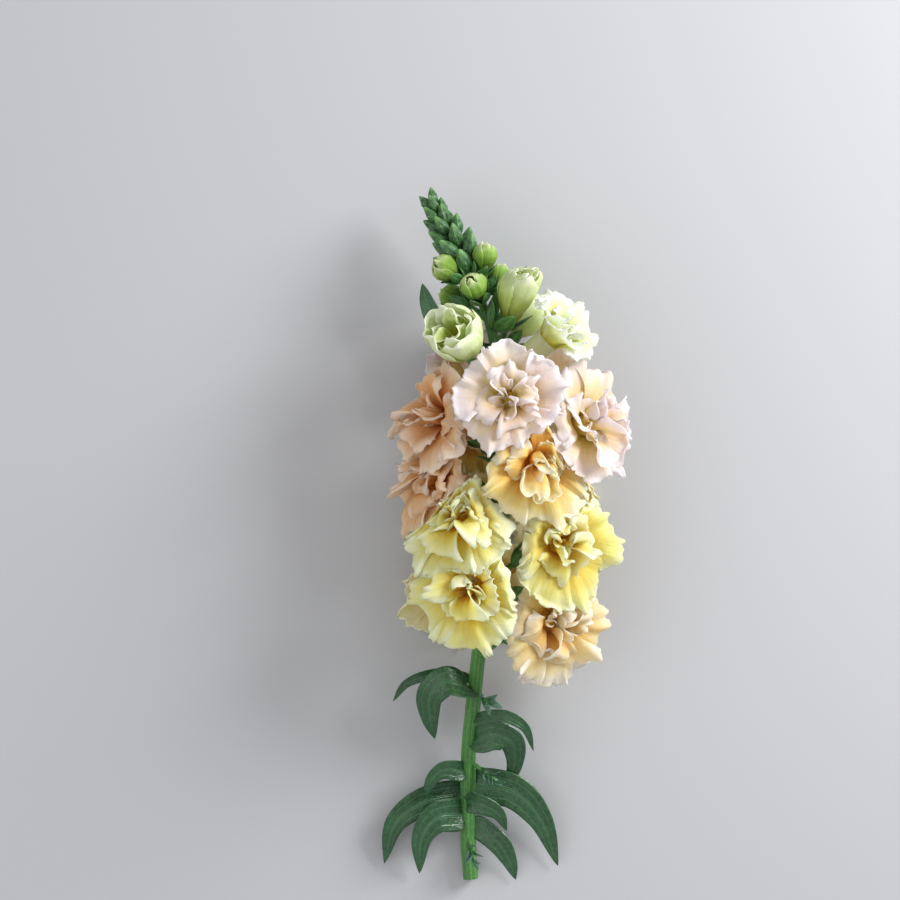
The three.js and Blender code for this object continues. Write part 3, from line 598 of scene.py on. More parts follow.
petalSkins = {
    name: makePetalMaterial("petal" + name.capitalize(), colours) for name, colours in palettes.items()
}
greens = {name: makeGreenMaterial(name, look) for name, look in greenLooks.items()}
pollen = makePetalMaterial("pollenDust", pollenColours)
print("stage: materials")

openLayers = {  # outermost first; angles in degrees, "open" from root to edge
    "collar": {
        "lobes": 5, "cells": (64, 24), "half": 52, "root": 4.4, "lift": -1.4, "open": (48, 102),
        "length": 0.92, "shoulder": 0.15, "round": 4.0, "ruffle": 0.12, "waves": 1.9, "frill": 0.034,
        "frills": 8.0, "curl": 28, "rim": 52, "cup": 8, "teeth": 0.08, "toothCount": 15, "wander": 12,
        "overlap": 1.0, "vary": 0.08, "scatter": 7, "lips": 6, "crumple": 0.012, "skew": 0.06,
    },
    "second": {
        "lobes": 4, "cells": (56, 24), "half": 48, "root": 3.7, "lift": -1.2, "open": (18, 74),
        "length": 0.7, "shoulder": 0.26, "round": 3.2, "ruffle": 0.12, "waves": 1.3, "frill": 0.036,
        "frills": 5.5, "curl": 48, "rim": 70, "cup": 14, "teeth": 0.06, "toothCount": 12, "wander": 20,
        "overlap": 0.6, "vary": 0.28, "scatter": 22, "lips": 12, "crumple": 0.012, "skew": 0.24,
    },
    "third": {
        "lobes": 3, "cells": (46, 24), "half": 48, "root": 2.7, "lift": -1.0, "open": (10, 50),
        "length": 0.64, "shoulder": 0.3, "round": 3.4, "ruffle": 0.12, "waves": 1.2, "frill": 0.04,
        "frills": 3.2, "curl": 74, "rim": 84, "cup": 40, "teeth": 0.055, "toothCount": 8, "wander": 28,
        "overlap": 0.4, "vary": 0.3, "scatter": 40, "lips": 6, "crumple": 0.014, "skew": 0.5,
    },
    "tongues": {
        "lobes": 3, "cells": (28, 22), "half": 38, "root": 1.5, "lift": -0.6, "open": (26, 20),
        "length": 0.48, "shoulder": 0.4, "round": 3.2, "ruffle": 0.08, "waves": 0.9, "frill": 0.035,
        "frills": 2.4, "curl": 100, "rim": 84, "cup": 60, "teeth": 0.045, "toothCount": 6, "wander": 36,
        "overlap": 0.2, "vary": 0.32, "scatter": 60, "lips": 0, "crumple": 0.016, "skew": 0.6,
    },
}
backLayers = {
    "collar": {**openLayers["collar"], "cells": (36, 16), "open": (46, 102)},
    "second": {**openLayers["second"], "cells": (30, 14)},
    "third": {**openLayers["third"], "cells": (22, 14), "length": 0.5},
    "tongues": {**openLayers["tongues"], "cells": (14, 12), "length": 0.4},
}
openingLayers = {
    "collar": {
        **openLayers["collar"],
        "open": (16, 84), "length": 1.08, "curl": 14, "rim": 40, "ruffle": 0.1, "lips": 12,
    },
    "second": {**openLayers["second"], "lobes": 3, "half": 50, "open": (12, 50), "length": 0.62, "curl": 30},
    "third": {**openLayers["third"], "lobes": 2, "open": (10, 26), "length": 0.46, "curl": 40, "skew": 0.2},
}
petalForm = {
    "dents": ((3.1, 4.4), (-5.3, 6.1), (7.7, 3.2)),  # across and along
    "bays": 2.9, "bayDepth": 0.06, "toothGroups": 3.6,
    "lip": (0.45, 1.05), "rim": (0.84, 1.02),  # from where to where each turns over
    "outward": 0.75, "rimBack": -0.8,  # share of lips and rims that turn outwards; how far the others go back
    "gather": 5, "half": 0.2, "thinner": 0.1, "paler": 0.22, "floor": 0.35,
}


def spokesAt(head, theta):
    return np.cos(theta)[..., None] * head["upper"] + np.sin(theta)[..., None] * head["side"]


def petalGrid(head, rule, turn, roll, back):
    cols, rows = rule["cells"]
    across = np.linspace(-1, 1, cols + 1)[None, :]
    along = np.linspace(0, 1, rows + 1)[:, None]
    p = [roll() * fullTurn for _ in range(10)]

    def swing(spread):
        return spread * (2 * roll() - 1)

    # outline with a few broad bays and small pointed teeth
    outline = 1 - rule["shoulder"] * np.abs(across) ** rule["round"]
    outline = outline + petalForm["bayDepth"] * np.sin(petalForm["bays"] * across + p[0])
    tooth = rule["toothCount"] * 1.57 * (across + 0.06 * np.sin(8 * across + p[1])) + p[2]
    groups = np.sin(petalForm["toothGroups"] * across + p[3]) ** 2
    tooth = (1 - np.abs(np.sin(tooth))) * (0.35 + 0.65 * groups)
    teeth = rule["teeth"] * (tooth - 0.3) * (1 - 0.5 * np.abs(across) ** 3)
    short = 1 - head["crowded"] * max(math.cos(turn), 0)
    size = head["reach"] * rule["length"] * short * (1 + swing(rule["vary"]))
    reached = size * (outline * along + teeth * along**7)

    # how far each row leans outwards, with a rolled lip and a turned rim
    lip = rule["curl"] * (0.5 + roll()) * (1 if roll() < petalForm["outward"] else -1)
    angle = between(*rule["open"], along)
    angle = angle + (swing(rule["wander"]) - rule["lips"] * math.cos(turn)) * along
    angle = angle + lip * smooth(along, *petalForm["lip"]) * (0.7 + 0.3 * np.sin(3 * across + p[6]))
    angle = angle - rule["cup"] * across**2 * along
    rim = rule["rim"] * (1 if roll() < petalForm["outward"] else petalForm["rimBack"])
    rim = rim * (0.5 + 0.5 * np.sin(2.3 * across + p[5]) + 0.3)
    angle = np.radians(angle + rim * smooth(along, *petalForm["rim"]))
    step = np.diff(reached, axis=0)
    middle = (angle[1:] + angle[:-1]) / 2
    start = np.zeros((1, cols + 1))
    high, wide = (np.vstack([start, np.cumsum(part * step, 0)]) for part in (np.cos(middle), np.sin(middle)))

    k = rule["waves"] * math.pi * (1 + swing(0.25))
    wave = np.sin(k * across + p[4]) + 0.55 * np.sin(2.1 * k * across + p[5])
    ruffle = size * rule["ruffle"] * along**2.4 * wave
    frill = np.sin(rule["frills"] * math.pi * across + p[1] + 0.8 * np.sin(5 * across))
    frill = size * rule["frill"] * along**8 * frill
    dents = sum(np.sin(f * across + g * along + p[7 + n]) for n, (f, g) in enumerate(petalForm["dents"]))
    off = ruffle + (rule["overlap"] + size * swing(rule["skew"]) * along) * across
    off = off + size * rule["crumple"] * smooth(along, 0.1, 0.7) * dents
    high = rule["lift"] + high + off * np.sin(angle)
    wide = rule["root"] + wide - off * np.cos(angle)

    gathered = math.radians(petalForm["gather"]) * along**2 * np.cos(k * across + p[4])
    theta = turn + math.radians(swing(rule["scatter"])) + gathered
    theta = theta + math.radians(rule["half"]) * across * (0.86 + 0.14 * along)
    theta = theta + math.radians(swing(rule["wander"])) * along
    grid = head["centre"] + high[..., None] * head["facing"]
    grid = grid + np.maximum(wide, 0.2)[..., None] * spokesAt(head, theta)
    uneven = 0.9 * np.sin(2.7 * across + 2 * along + p[8]) + 0.25 * np.sin(6.1 * across + p[9])
    kept = keepInCell(grid, head, back - crowding["give"] + uneven)
    grid = grid + (kept - grid) * (crowding["halfHold"] if head["kind"] == "half" else 1)
    grid = grid + sheetNormals(grid, False) * (frill + 0.15 * ruffle)[..., None]
    grid[..., 2] = np.maximum(grid[..., 2], petalForm["floor"])
    return grid, np.minimum(along + 0.2 * across**4 * smooth(along, 0.35, 0.85), 1), across


def roundLine(centre, side, other, theta, r):
    ring = centre[:, None] + (np.cos(theta) * r)[..., None] * side[:, None]
    return ring + (np.sin(theta) * r)[..., None] * other[:, None]


tube = {
    "at": [0, 0.1, 0.36, 0.8, 1], "radii": [1.2, 2.6, 4.2, 4.4, 4.9], "cells": (30, 14), "halfOpenMore": 1.12,
    "afterCup": 2.9, "end": 0.985, "half": 0.2, "ribs": 5, "ribDepth": 0.05,
}


def addTube(store, head):
    start = head["cupAt"] + tube["afterCup"] / head["stalkLength"]
    t = np.linspace(0, 1, tube["cells"][1])
    centre, way = onStalk(head, between(start, tube["end"], t))
    side = squareTo(way, head["upper"][None])
    radius = np.interp(t, tube["at"], tube["radii"]) * (tube["halfOpenMore"] if head["kind"] == "half" else 1)
    angle = np.linspace(0, fullTurn, tube["cells"][0], endpoint=False)[None, :] + head["turnBy"]
    r = radius[:, None] * (1 + tube["ribDepth"] * np.cos(tube["ribs"] * angle) * t[:, None])
    shade = (0.55 + 0.2 * t[:, None], 0.02 + 0.1 * t[:, None])
    grid = roundLine(centre, side, np.cross(way, side), angle, r)
    addShell(store, grid, tube["half"], shade, wrap=True)


def addBloom(head):
    layers = openingLayers if head["kind"] == "half" else backLayers if head["over"] < 0 else openLayers
    roll = dice(head["seed"] * 7 + 3)
    store = newStore()
    addTube(store, head)
    for index, rule in enumerate(layers.values()):
        back = crowding["petalHalf"] + crowding["gap"] / 2 + index * crowding["layerStep"]
        for lobe in range(rule["lobes"]):
            turn = head["turnBy"] + math.pi / rule["lobes"] * index + fullTurn * lobe / rule["lobes"]
            grid, along, across = petalGrid(head, rule, turn, roll, back)
            half = petalForm["half"] - petalForm["thinner"] * along
            addShell(store, grid, half, along ** (1 + petalForm["paler"] * index), across, roll())
    return store


# big buds and barrels: petals wrapped round a swollen body, by rings from the outside in
wrappedBud = {
    "heights": [-0.56, -0.42, -0.12, 0.1, 0.3, 0.46], "closed": [0.1, 0.42, 0.88, 1.0, 0.82, 0.3],
    "opening": [0.1, 0.36, 0.76, 0.96, 1.0, 0.6], "openFrom": 7.0, "barrelHold": 0.15, "floor": 0.4,
    "half": 0.2, "ribs": 11, "ribDepth": 0.016, "lip": (0.82, 1.0), "openLip": 0.5, "closedLip": 0.16,
    "twist": 0.25, "overlap": 0.07,
    "outer": {"count": 5, "half": 56, "cells": (30, 26), "from": 0.0, "to": 1.0, "tuck": 1.0},
    "inner": {"count": 4, "half": 50, "cells": (26, 16), "from": 0.45, "to": 1.02, "tuck": 0.7},
    "core": {"count": 3, "half": 58, "cells": (24, 16), "from": 0.4, "to": 1.0, "tuck": 0.4},
}


def wrapGrid(head, rule, k, turnShare, opening, roll):
    cols, rows = rule["cells"]
    across = np.linspace(-1, 1, cols + 1)[None, :]
    part = np.linspace(0, 1, rows + 1)[:, None]
    p = [roll() * fullTurn for _ in range(4)]
    top = rule["to"] * (1 - 0.2 * across**2 + 0.02 * np.sin(9 * across + p[0]) + 0.12 * (roll() - 0.5))
    at = between(rule["from"], top, part)
    high = budSpan["height"] * at - budSpan["foot"]
    shape, lip = ("opening", "openLip") if opening else ("closed", "closedLip")
    wide = np.interp(high, wrappedBud["heights"], wrappedBud[shape]) * rule["tuck"]
    lip = smooth(at, *wrappedBud["lip"]) * wrappedBud[lip] * (0.6 + 0.4 * np.sin(3 * across + p[2]))
    ribs = wrappedBud["ribDepth"] * np.cos(wrappedBud["ribs"] * across)
    wide = wide + lip + ribs * smooth(at, 0.0, 0.3) * smooth(at, 1.0, 0.7)
    wide = wide + wrappedBud["overlap"] * across * (0.4 + at)
    wide = wide + 0.04 * smooth(at, 0.6, 1) * np.sin(5 * across + p[1])
    theta = head["turnBy"] + fullTurn * (k + turnShare) / rule["count"]
    theta = theta + math.radians(rule["half"]) * across * (1 - 0.2 * smooth(at, 0.6, 1))
    theta = theta + wrappedBud["twist"] * at
    grid = head["centre"] + head["facing"] * head["forward"]
    grid = grid + (high * head["length"])[..., None] * head["facing"]
    grid = grid + (wide * head["radius"])[..., None] * spokesAt(head, theta)
    kept = keepInCell(grid, head, 0.3, soft=0.4)
    # a barrel gives way only a little, and a bud's narrow foot stays whole
    hold = wrappedBud["barrelHold"] if head["forward"] else smooth(high + 0 * across, -0.3, 0.0)[..., None]
    grid = grid + (kept - grid) * hold
    grid[..., 2] = np.maximum(grid[..., 2], wrappedBud["floor"])
    return grid, at, part, across


def addBud(head):
    store = newStore()
    roll = dice(head["seed"] * 5 + 1)
    opening = head["radius"] > wrappedBud["openFrom"]
    foot = 0.45 if head["forward"] else 0.05
    for ringName in ("outer", "inner", "core") if opening else ("outer", "inner"):
        rule = wrappedBud[ringName]
        for k in range(rule["count"]):
            turnShare = 0 if ringName == "outer" else 0.5
            grid, at, part, across = wrapGrid(head, rule, k, turnShare, opening, roll)
            shade = {
                "outer": foot + (0.98 - foot) * at**1.5 + 0.1 * across**4,
                "inner": 0.3 + 0.7 * part,
                "core": 0.1 + 0.75 * part**2,
            }[ringName]
            addShell(store, grid, wrappedBud["half"], shade, across, roll())
    return store


heads = makeHeads()
for head in sorted(heads, key=lambda each: each["wrapped"]):  # the wrapped ones last
    if head["wrapped"]:
        palette = "lime" if head["radius"] > wrappedBud["openFrom"] else "budLime"
        store = addBud(head)
    else:
        palette = head["palette"]
        store = addBloom(head)
    makePiece(head["name"] + "_petals", store, [petalSkins[palette]], [head["name"]])
print("stage: blooms and big buds")

leafPlaces = {  # points of the midrib, width, roll, fold
    "leaf_01": (
        [(8, -100.5, 26), (-1, -96.5, 30), (-8, -102, 27), (-8.5, -112, 20), (-6.5, -122, 13)], 12.5, 12, 1.2,
    ),
    "leaf_02": ([(7, -96, 22), (-6, -94, 22), (-18, -98, 19), (-24, -106, 14)], 4.6, -15, 0.8),
    "leaf_03": (
        [(11, -123, 17), (18.5, -119.5, 22.5), (25.5, -122, 21.5), (27.5, -131, 15), (23.5, -146, 7)],
        12, 16, 1.4,
    ),
    "leaf_04": ([(12, -113, 20), (23, -111, 29), (31, -115.5, 29), (35, -126, 24)], 4.8, 10, 0.8),
    "leaf_05": ([(5, -136, 13), (-2.5, -134.5, 17), (-7.5, -138.5, 16.5), (-10.5, -146.5, 13)], 8, -24, 1),
    "leaf_06": ([(8, -149, 11.5), (13.5, -149.5, 16), (20, -153, 15.5), (24, -161, 12)], 8.5, 20, 1),
    "leaf_07": ([(4.5, -155, 8), (-5, -155, 14), (-11.5, -163, 12), (-13, -180, 4.5)], 13.5, -14, 1.4),
    "leaf_08": ([(4.5, -147, 5), (-11, -149, 9.5), (-23, -158, 8), (-28, -176, 3)], 12.5, -8, 1.3),
    "leaf_09": ([(10.5, -143, 7.5), (26, -144, 11), (38, -156, 8), (46, -177, 3)], 15, 10, 1.5),
    "leaf_10": ([(10.5, -160, 4.5), (20, -166, 7.5), (25, -174, 5), (28, -183, 2.4)], 9.5, 14, 1),
    "leaf_11": ([(6.5, 44, 30), (-3, 50, 38), (-9, 60, 40), (-11.5, 69, 37)], 9.5, -20, 1),
}
leafForm = {
    "rows": 49, "cols": 16, "wave": 0.35, "ripples": 9.0, "thick": 0.24,
    "turn": 62, "fullFrom": 12,  # a hanging blade stands on its edge at the stem, fully from this height
}
shootPlaces = {  # foot, direction, length, leaf length, leaves, seed
    "side_shoot_01": ((9, -103, 24.5), (0.75, -0.2, 0.75), 12, 9, 6, 51),
    "side_shoot_02": ((10.5, -131, 14), (0.8, -0.75, 0.35), 13, 9, 6, 53),
    "side_shoot_03": ((8, -163, 8), (0.2, -0.9, 0.5), 12, 8.5, 6, 54),
}
shootForm = {
    "rows": 13, "cols": 8, "wave": 0.1, "ripples": 5.0, "thick": 0.16,
    "radius": 1.1, "taper": 0.45, "firstLeaf": 0.42, "shorter": 0.35, "leafWidth": 0.42, "fold": 0.5,
}
bladeForm = {"midrib": 0.3, "midribNarrow": 7, "edgeThin": 0.55, "clear": 0.05}
leafStep = 137.5  # degrees from leaf to leaf, and from tip bud to tip bud


def turnedAbout(v, axis, angle):
    c, s = np.cos(angle), np.sin(angle)
    if np.ndim(angle):
        c, s = c[:, None], s[:, None]
    return v * c + np.cross(axis, v) * s + axis * (axis * v).sum(-1, keepdims=True) * (1 - c)


def addBlade(store, line, flat, up, wide, fold, shape, form):
    across = np.linspace(-1, 1, form["cols"] + 1)[None, :]
    along = np.linspace(0, 1, len(line))[:, None]
    lift = fold[:, None] * (np.abs(across) ** 1.5 - 0.35 * np.abs(across) ** 4)
    wave = form["wave"] * shape[:, None] * np.sin(form["ripples"] * along + 2 * np.sign(across))
    lift = lift + wave * across**2
    grid = line[:, None] + (wide[:, None] * across)[..., None] * flat[:, None] + lift[..., None] * up[:, None]
    grid[..., 2] = np.maximum(grid[..., 2], form["thick"] + bladeForm["clear"])
    midrib = bladeForm["midrib"] * np.exp(-((across * bladeForm["midribNarrow"]) ** 2)) * (1 - along)
    half = form["thick"] * (1 - bladeForm["edgeThin"] * np.abs(across)) + midrib
    addShell(store, grid, half, along, across)


def addLeaf(name, place):
    points, width, roll, fold = place
    line = splinePoints([stemAt(points[0][1] - 1)[0], *points], leafForm["rows"])
    way = unit(np.gradient(line, axis=0))
    flat = unit(np.cross(way, np.array([0, 0, 1.0])))
    up = np.cross(flat, way)
    t = np.linspace(0, 1, leafForm["rows"])
    hangs = points[-1][1] < points[0][1]
    turn = leafForm["turn"] * min(points[0][2] / leafForm["fullFrom"], 1) * hangs
    turn = np.radians(turn * np.sign(points[0][0] - points[2][0]) * (1 - smooth(t, 0.1, 0.5)) + roll)
    flat, up = turnedAbout(flat, way, turn), turnedAbout(up, way, turn)
    shape = np.sin(math.pi * (0.1 + 0.9 * t) ** 0.85) ** 0.75
    shape = shape * (0.3 + 0.7 * smooth(t, 0.03, 0.3))
    half = width / 2 * shape + 0.3 * smooth(t, 1.0, 0.85) + 0.1
    store = newStore()
    addBlade(store, line, flat, up, half, fold * shape, shape, leafForm)
    makePiece(name + "_blade", store, [greens["leafBlade"]], [name])


def addShoot(name, place):
    foot, direction, length, leafLength, count, seed = place
    roll = dice(seed)
    start = stemAt(foot[1])[0]
    end = np.array(foot) + unit(np.array(direction)) * length
    ahead = unit(end - start)
    store = newStore()
    t = np.linspace(0, 1, 6)
    side = squareTo(ahead, np.array([0.2, 0.3, 1.0]))
    angle = np.linspace(0, fullTurn, 8, endpoint=False)
    spokes = np.cos(angle)[:, None] * side + np.sin(angle)[:, None] * np.cross(ahead, side)
    radii = shootForm["radius"] - shootForm["taper"] * t
    rings = (start + (end - start) * t[:, None])[:, None] + spokes[None] * radii[:, None, None]
    addSolid(store, rings, start, end + ahead * 0.4, 1)
    for i in range(count):
        at = shootForm["firstLeaf"] + (1 - shootForm["firstLeaf"]) * i / (count - 1)
        out = turnedAbout(side, ahead, math.radians(leafStep * i) + roll() * 0.4)
        reach = leafLength * (1 - shootForm["shorter"] * at) * (0.85 + 0.3 * roll())
        base = start + (end - start) * at * 0.96 - out * 0.2
        way = unit(out + ahead * (0.8 + at))
        middle = base + way * reach * 0.5 + ahead * 0.6
        point = base + way * reach + out * reach * 0.16
        line = bowLine(base, 2 * middle - (base + point) / 2, point, shootForm["rows"])
        flats = np.repeat(squareTo(way, np.cross(ahead, out))[None], shootForm["rows"], 0)
        ups = np.cross(flats, unit(np.gradient(line, axis=0)))
        shape = np.sin(math.pi * (0.06 + 0.92 * np.linspace(0, 1, shootForm["rows"])) ** 0.8)
        half = reach * shootForm["leafWidth"] / 2 * shape + 0.05
        addBlade(store, line, flats, ups, half, shootForm["fold"] * shape, shape, shootForm)
    makePiece(name + "_leaves", store, [greens["leafBlade"], greens["stemSkin"]], [name])


for name, place in leafPlaces.items():
    addLeaf(name, place)
for name, place in shootPlaces.items():
    addShoot(name, place)
print("stage: leaves")

# green cups of five pointed sepals
cup = {
    "sepals": 5, "depth": 8.4, "half": 37, "cells": (10, 12),
    "at": [0, 0.12, 0.4, 0.8, 1], "radii": [1.4, 3.0, 4.8, 5.5, 6.0],
    "thick": 0.25, "thinner": 0.12, "swing": 0.15, "overlap": 0.25, "flare": 0.5,
}


def addCups(heads):
    store = newStore()
    cols, rows = cup["cells"]
    along = np.linspace(0, 1, rows + 1)
    across = np.linspace(-1, 1, cols + 1)[None, :]
    taper = (1 - along**1.8)[:, None] ** 0.8 + 0.02
    for head in heads:
        roll = dice(head["seed"] * 3 + 2)
        depth = cup["depth"] * head["cupSize"]
        centre, way = onStalk(head, np.minimum(head["cupAt"] + along * depth / head["stalkLength"], 1))
        side = squareTo(way, head["upper"][None])
        radius = np.interp(along, cup["at"], cup["radii"]) * head["cupSize"]
        for k in range(cup["sepals"]):
            theta = fullTurn * k / cup["sepals"] + math.radians(cup["half"]) * across * taper
            theta = theta + cup["swing"] * (roll() - 0.5)
            r = radius[:, None] + cup["overlap"] * across + (cup["flare"] * roll()) * along[:, None] ** 3
            grid = roundLine(centre, side, np.cross(way, side), theta, r)
            half = cup["thick"] - cup["thinner"] * along[:, None]
            addShell(store, grid, half, along[:, None], across, roll())
    return store


makePiece("calyx_cups", addCups(heads), [greens["calyx"]], ["stem"])


def newTree(name, **inputs):
    tree = bpy.data.node_groups.new(name, "GeometryNodeTree")
    inputs = {"Geometry": "Geometry", **inputs, "Skin": "Material"}
    for socketName, kind in inputs.items():
        label = socketName.replace("_", " ")
        tree.interface.new_socket(label, in_out="INPUT", socket_type="NodeSocket" + kind)
    tree.interface.new_socket("Geometry", in_out="OUTPUT", socket_type="NodeSocketGeometry")
    return tree, tree.nodes.new("NodeGroupInput").outputs


def finishTree(tree, given, grown):
    realized = addNode(tree, "GeometryNodeRealizeInstances", {0: grown})
    inputs = {"Geometry": realized.outputs[0], "Material": given["Skin"]}
    painted = addNode(tree, "GeometryNodeSetMaterial", inputs)
    addNode(tree, "NodeGroupOutput", {"Geometry": painted.outputs[0]})
    return tree


def grow(name, source, tree, values, replaced):
    # runs the tree on the source, keeps the result as a plain mesh and drops the modifier
    modifier = source.modifiers.new(name, "NODES")
    modifier.node_group = tree
    for item in tree.interface.items_tree:
        if item.in_out == "INPUT" and item.name in values:
            modifier[item.identifier] = values[item.name]
    bpy.context.view_layer.update()
    grown = source.evaluated_get(bpy.context.evaluated_depsgraph_get())
    mesh = bpy.data.meshes.new_from_object(grown)
    source.modifiers.remove(modifier)
    bpy.data.objects.remove(source)
    mesh.name = name
    mesh.polygons.foreach_set("use_smooth", np.ones(len(mesh.polygons), bool))
    piece = placeObject(name, mesh)
    settle(piece, replaced)
    return piece


def storeMark(tree, geometry, name, value):
    inputs = {"Geometry": geometry, "Name": name, "Value": value}
    return addNode(tree, "GeometryNodeStoreNamedAttribute", inputs).outputs[0]


def splitPlace(tree):
    place = addNode(tree, "GeometryNodeInputPosition").outputs[0]
    return place, addNode(tree, "ShaderNodeSeparateXYZ", {0: place}).outputs


def makeSweepTree():
    tree, given = newTree("ridgedSweep", Sides="Int", Ridges="Float", Ridge_Depth="Float")
    circle = addNode(tree, "GeometryNodeCurvePrimitiveCircle", {"Resolution": given["Sides"], "Radius": 1.0})
    place, (x, y, _) = splitPlace(tree)
    angle = calc(tree, "ARCTAN2", y, x)
    ridge = calc(tree, "COSINE", calc(tree, "MULTIPLY", angle, given["Ridges"]))
    size = calc(tree, "MULTIPLY_ADD", ridge, given["Ridge Depth"], 1.0)
    ridged = addNode(tree, "ShaderNodeVectorMath", {0: place, "Scale": size}, operation="SCALE").outputs[0]
    marked = storeMark(tree, circle.outputs[0], "across", calc(tree, "DIVIDE", angle, math.pi))
    profile = addNode(tree, "GeometryNodeSetPosition", {"Geometry": marked, "Position": ridged})
    swept = addNode(tree, "GeometryNodeCurveToMesh", {
        "Curve": given["Geometry"], "Profile Curve": profile.outputs[0], "Fill Caps": True,
        "Scale": addNode(tree, "GeometryNodeInputRadius").outputs[0],
    })
    return finishTree(tree, given, swept.outputs[0])


def curveSource(name, lines):
    curve = bpy.data.curves.new(name, "CURVE")
    curve.dimensions = "3D"
    for points, radii in lines:
        spline = curve.splines.new("POLY")
        spline.points.add(len(points) - 1)
        for point, place, radius in zip(spline.points, points, radii):
            point.co = (*((place + shift) * mm), 1)
            point.radius = radius * mm
    return placeObject(name, curve)


def growStem(heads):
    t = np.linspace(0, 1, mainStem["steps"])
    line = stemLine[(t * (len(stemLine) - 1)).astype(int)]
    radii = np.interp(t, np.linspace(0, 1, len(mainStem["radii"])), mainStem["radii"])
    knots = 1 + mainStem["swelling"] * np.exp(-((np.mod(t * mainStem["knots"], 1) - 0.5) * 9) ** 2)
    lines = [(line, radii * knots)]
    s = np.linspace(0, 1, mainStem["stalkSteps"])
    stalkRadii = mainStem["stalkRadius"] * (1 + 0.5 * (1 - s) ** 3)  # thicker where it leaves the stem
    for head in heads:
        points, _ = onStalk(head, s * (head["cupAt"] + 1.5 / head["stalkLength"]))
        lines.append((points, stalkRadii * min(head["cupSize"] + 0.25, 1)))
    values = {
        "Sides": mainStem["sides"], "Ridges": mainStem["ridges"], "Ridge Depth": mainStem["ridgeDepth"],
        "Skin": greens["stemSkin"],
    }
    return grow("stem_skin", curveSource("stemLines", lines), sweepTree, values, ["stem"])


# metres; the hairs grow on the upper stem, beyond this place along it
stemHairs = {"perArea": 420000.0, "length": 0.0007, "radius": 0.00003, "seed": 7, "from": -0.075}


def makeHairTree():
    tree, given = newTree(
        "stemHairs", Per_Area="Float", Hair_Length="Float", Hair_Radius="Float", From="Float", Seed="Int",
    )
    _, (_, y, _) = splitPlace(tree)
    upper = addNode(tree, "FunctionNodeCompare", {0: y, 1: given["From"]}, operation="GREATER_THAN")
    points = addNode(tree, "GeometryNodeDistributePointsOnFaces", {
        "Mesh": given["Geometry"], "Selection": upper.outputs[0],
        "Density": given["Per Area"], "Seed": given["Seed"],
    }).outputs
    hair = addNode(tree, "GeometryNodeMeshCone", {
        "Vertices": 3, "Radius Top": 0.0,
        "Radius Bottom": given["Hair Radius"], "Depth": given["Hair Length"],
    })
    spread = addNode(tree, "GeometryNodeInstanceOnPoints", {
        "Points": points["Points"], "Instance": hair.outputs[0], "Rotation": points["Rotation"],
    })
    return finishTree(tree, given, spread.outputs[0])


def growHairs(skin):
    source = placeObject("hairRoots", skin.data.copy())
    values = {
        "Hair Length": stemHairs["length"], "Hair Radius": stemHairs["radius"],
        "Per Area": stemHairs["perArea"], "Seed": stemHairs["seed"],
        "From": stemHairs["from"] + shift[1] * mm, "Skin": greens["calyx"],
    }
    return grow("stem_hairs", source, makeHairTree(), values, [])


sweepTree = makeSweepTree()
hairs = growHairs(growStem(heads))
print("stage: stem,", len(hairs.data.polygons), "hair faces")


def standOnPoints(tree, given, shape):
    # the shape on every point, turned to the point's aim and scaled to its size
    aim, size = (
        addNode(tree, "GeometryNodeInputNamedAttribute", {"Name": name}, data_type="FLOAT_VECTOR").outputs[0]
        for name in ("aim", "size")
    )
    turned = addNode(tree, "FunctionNodeAlignRotationToVector", {"Vector": aim}, axis="Z").outputs[0]
    inputs = {"Points": given["Geometry"], "Instance": shape, "Rotation": turned, "Scale": size}
    return finishTree(tree, given, addNode(tree, "GeometryNodeInstanceOnPoints", inputs).outputs[0])


def makeBudTree():
    # a pointed bud with twisted grooves
    kinds = dict.fromkeys(("Grooves", "Groove_Depth", "Twist", "Taper", "Tip"), "Float")
    tree, given = newTree("tipBuds", **kinds)
    ball = addNode(tree, "GeometryNodeMeshUVSphere", {"Segments": 30, "Rings": 16, "Radius": 1.0})
    _, (x, y, z) = splitPlace(tree)
    high = calc(tree, "MULTIPLY_ADD", z, 0.5, 0.5)
    twisted = calc(tree, "MULTIPLY_ADD", high, given["Twist"], calc(tree, "ARCTAN2", y, x))
    groove = calc(tree, "MULTIPLY", twisted, calc(tree, "MULTIPLY", given["Grooves"], 0.5))
    groove = calc(tree, "POWER", calc(tree, "ABSOLUTE", calc(tree, "COSINE", groove)), 0.4)
    whole = calc(tree, "SUBTRACT", 1.0, given["Groove Depth"])
    wide = calc(tree, "MULTIPLY_ADD", groove, given["Groove Depth"], whole)
    taper = calc(tree, "MULTIPLY", calc(tree, "POWER", high, 2.0), given["Taper"])
    wide = calc(tree, "MULTIPLY", wide, calc(tree, "SUBTRACT", 1.12, taper))
    point = calc(tree, "MULTIPLY_ADD", calc(tree, "POWER", high, 10.0), given["Tip"], high)
    inputs = {0: calc(tree, "MULTIPLY", x, wide), 1: calc(tree, "MULTIPLY", y, wide), 2: point}
    shaped = addNode(tree, "ShaderNodeCombineXYZ", inputs)
    marked = storeMark(tree, ball.outputs[0], "along", high)
    marked = storeMark(tree, marked, "across", calc(tree, "SUBTRACT", 1.0, groove))
    bud = addNode(tree, "GeometryNodeSetPosition", {"Geometry": marked, "Position": shaped.outputs[0]})
    return standOnPoints(tree, given, bud.outputs[0])


def pointSource(name, points, aims, sizes):
    mesh = bpy.data.meshes.new(name)
    mesh.from_pydata(((np.array(points) + shift) * mm).tolist(), [], [])
    for key, values in (("aim", aims), ("size", np.array(sizes) * mm)):
        layer = mesh.attributes.new(key, "FLOAT_VECTOR", "POINT")
        layer.data.foreach_set("vector", np.array(values, np.float32).reshape(-1))
    return placeObject(name, mesh)


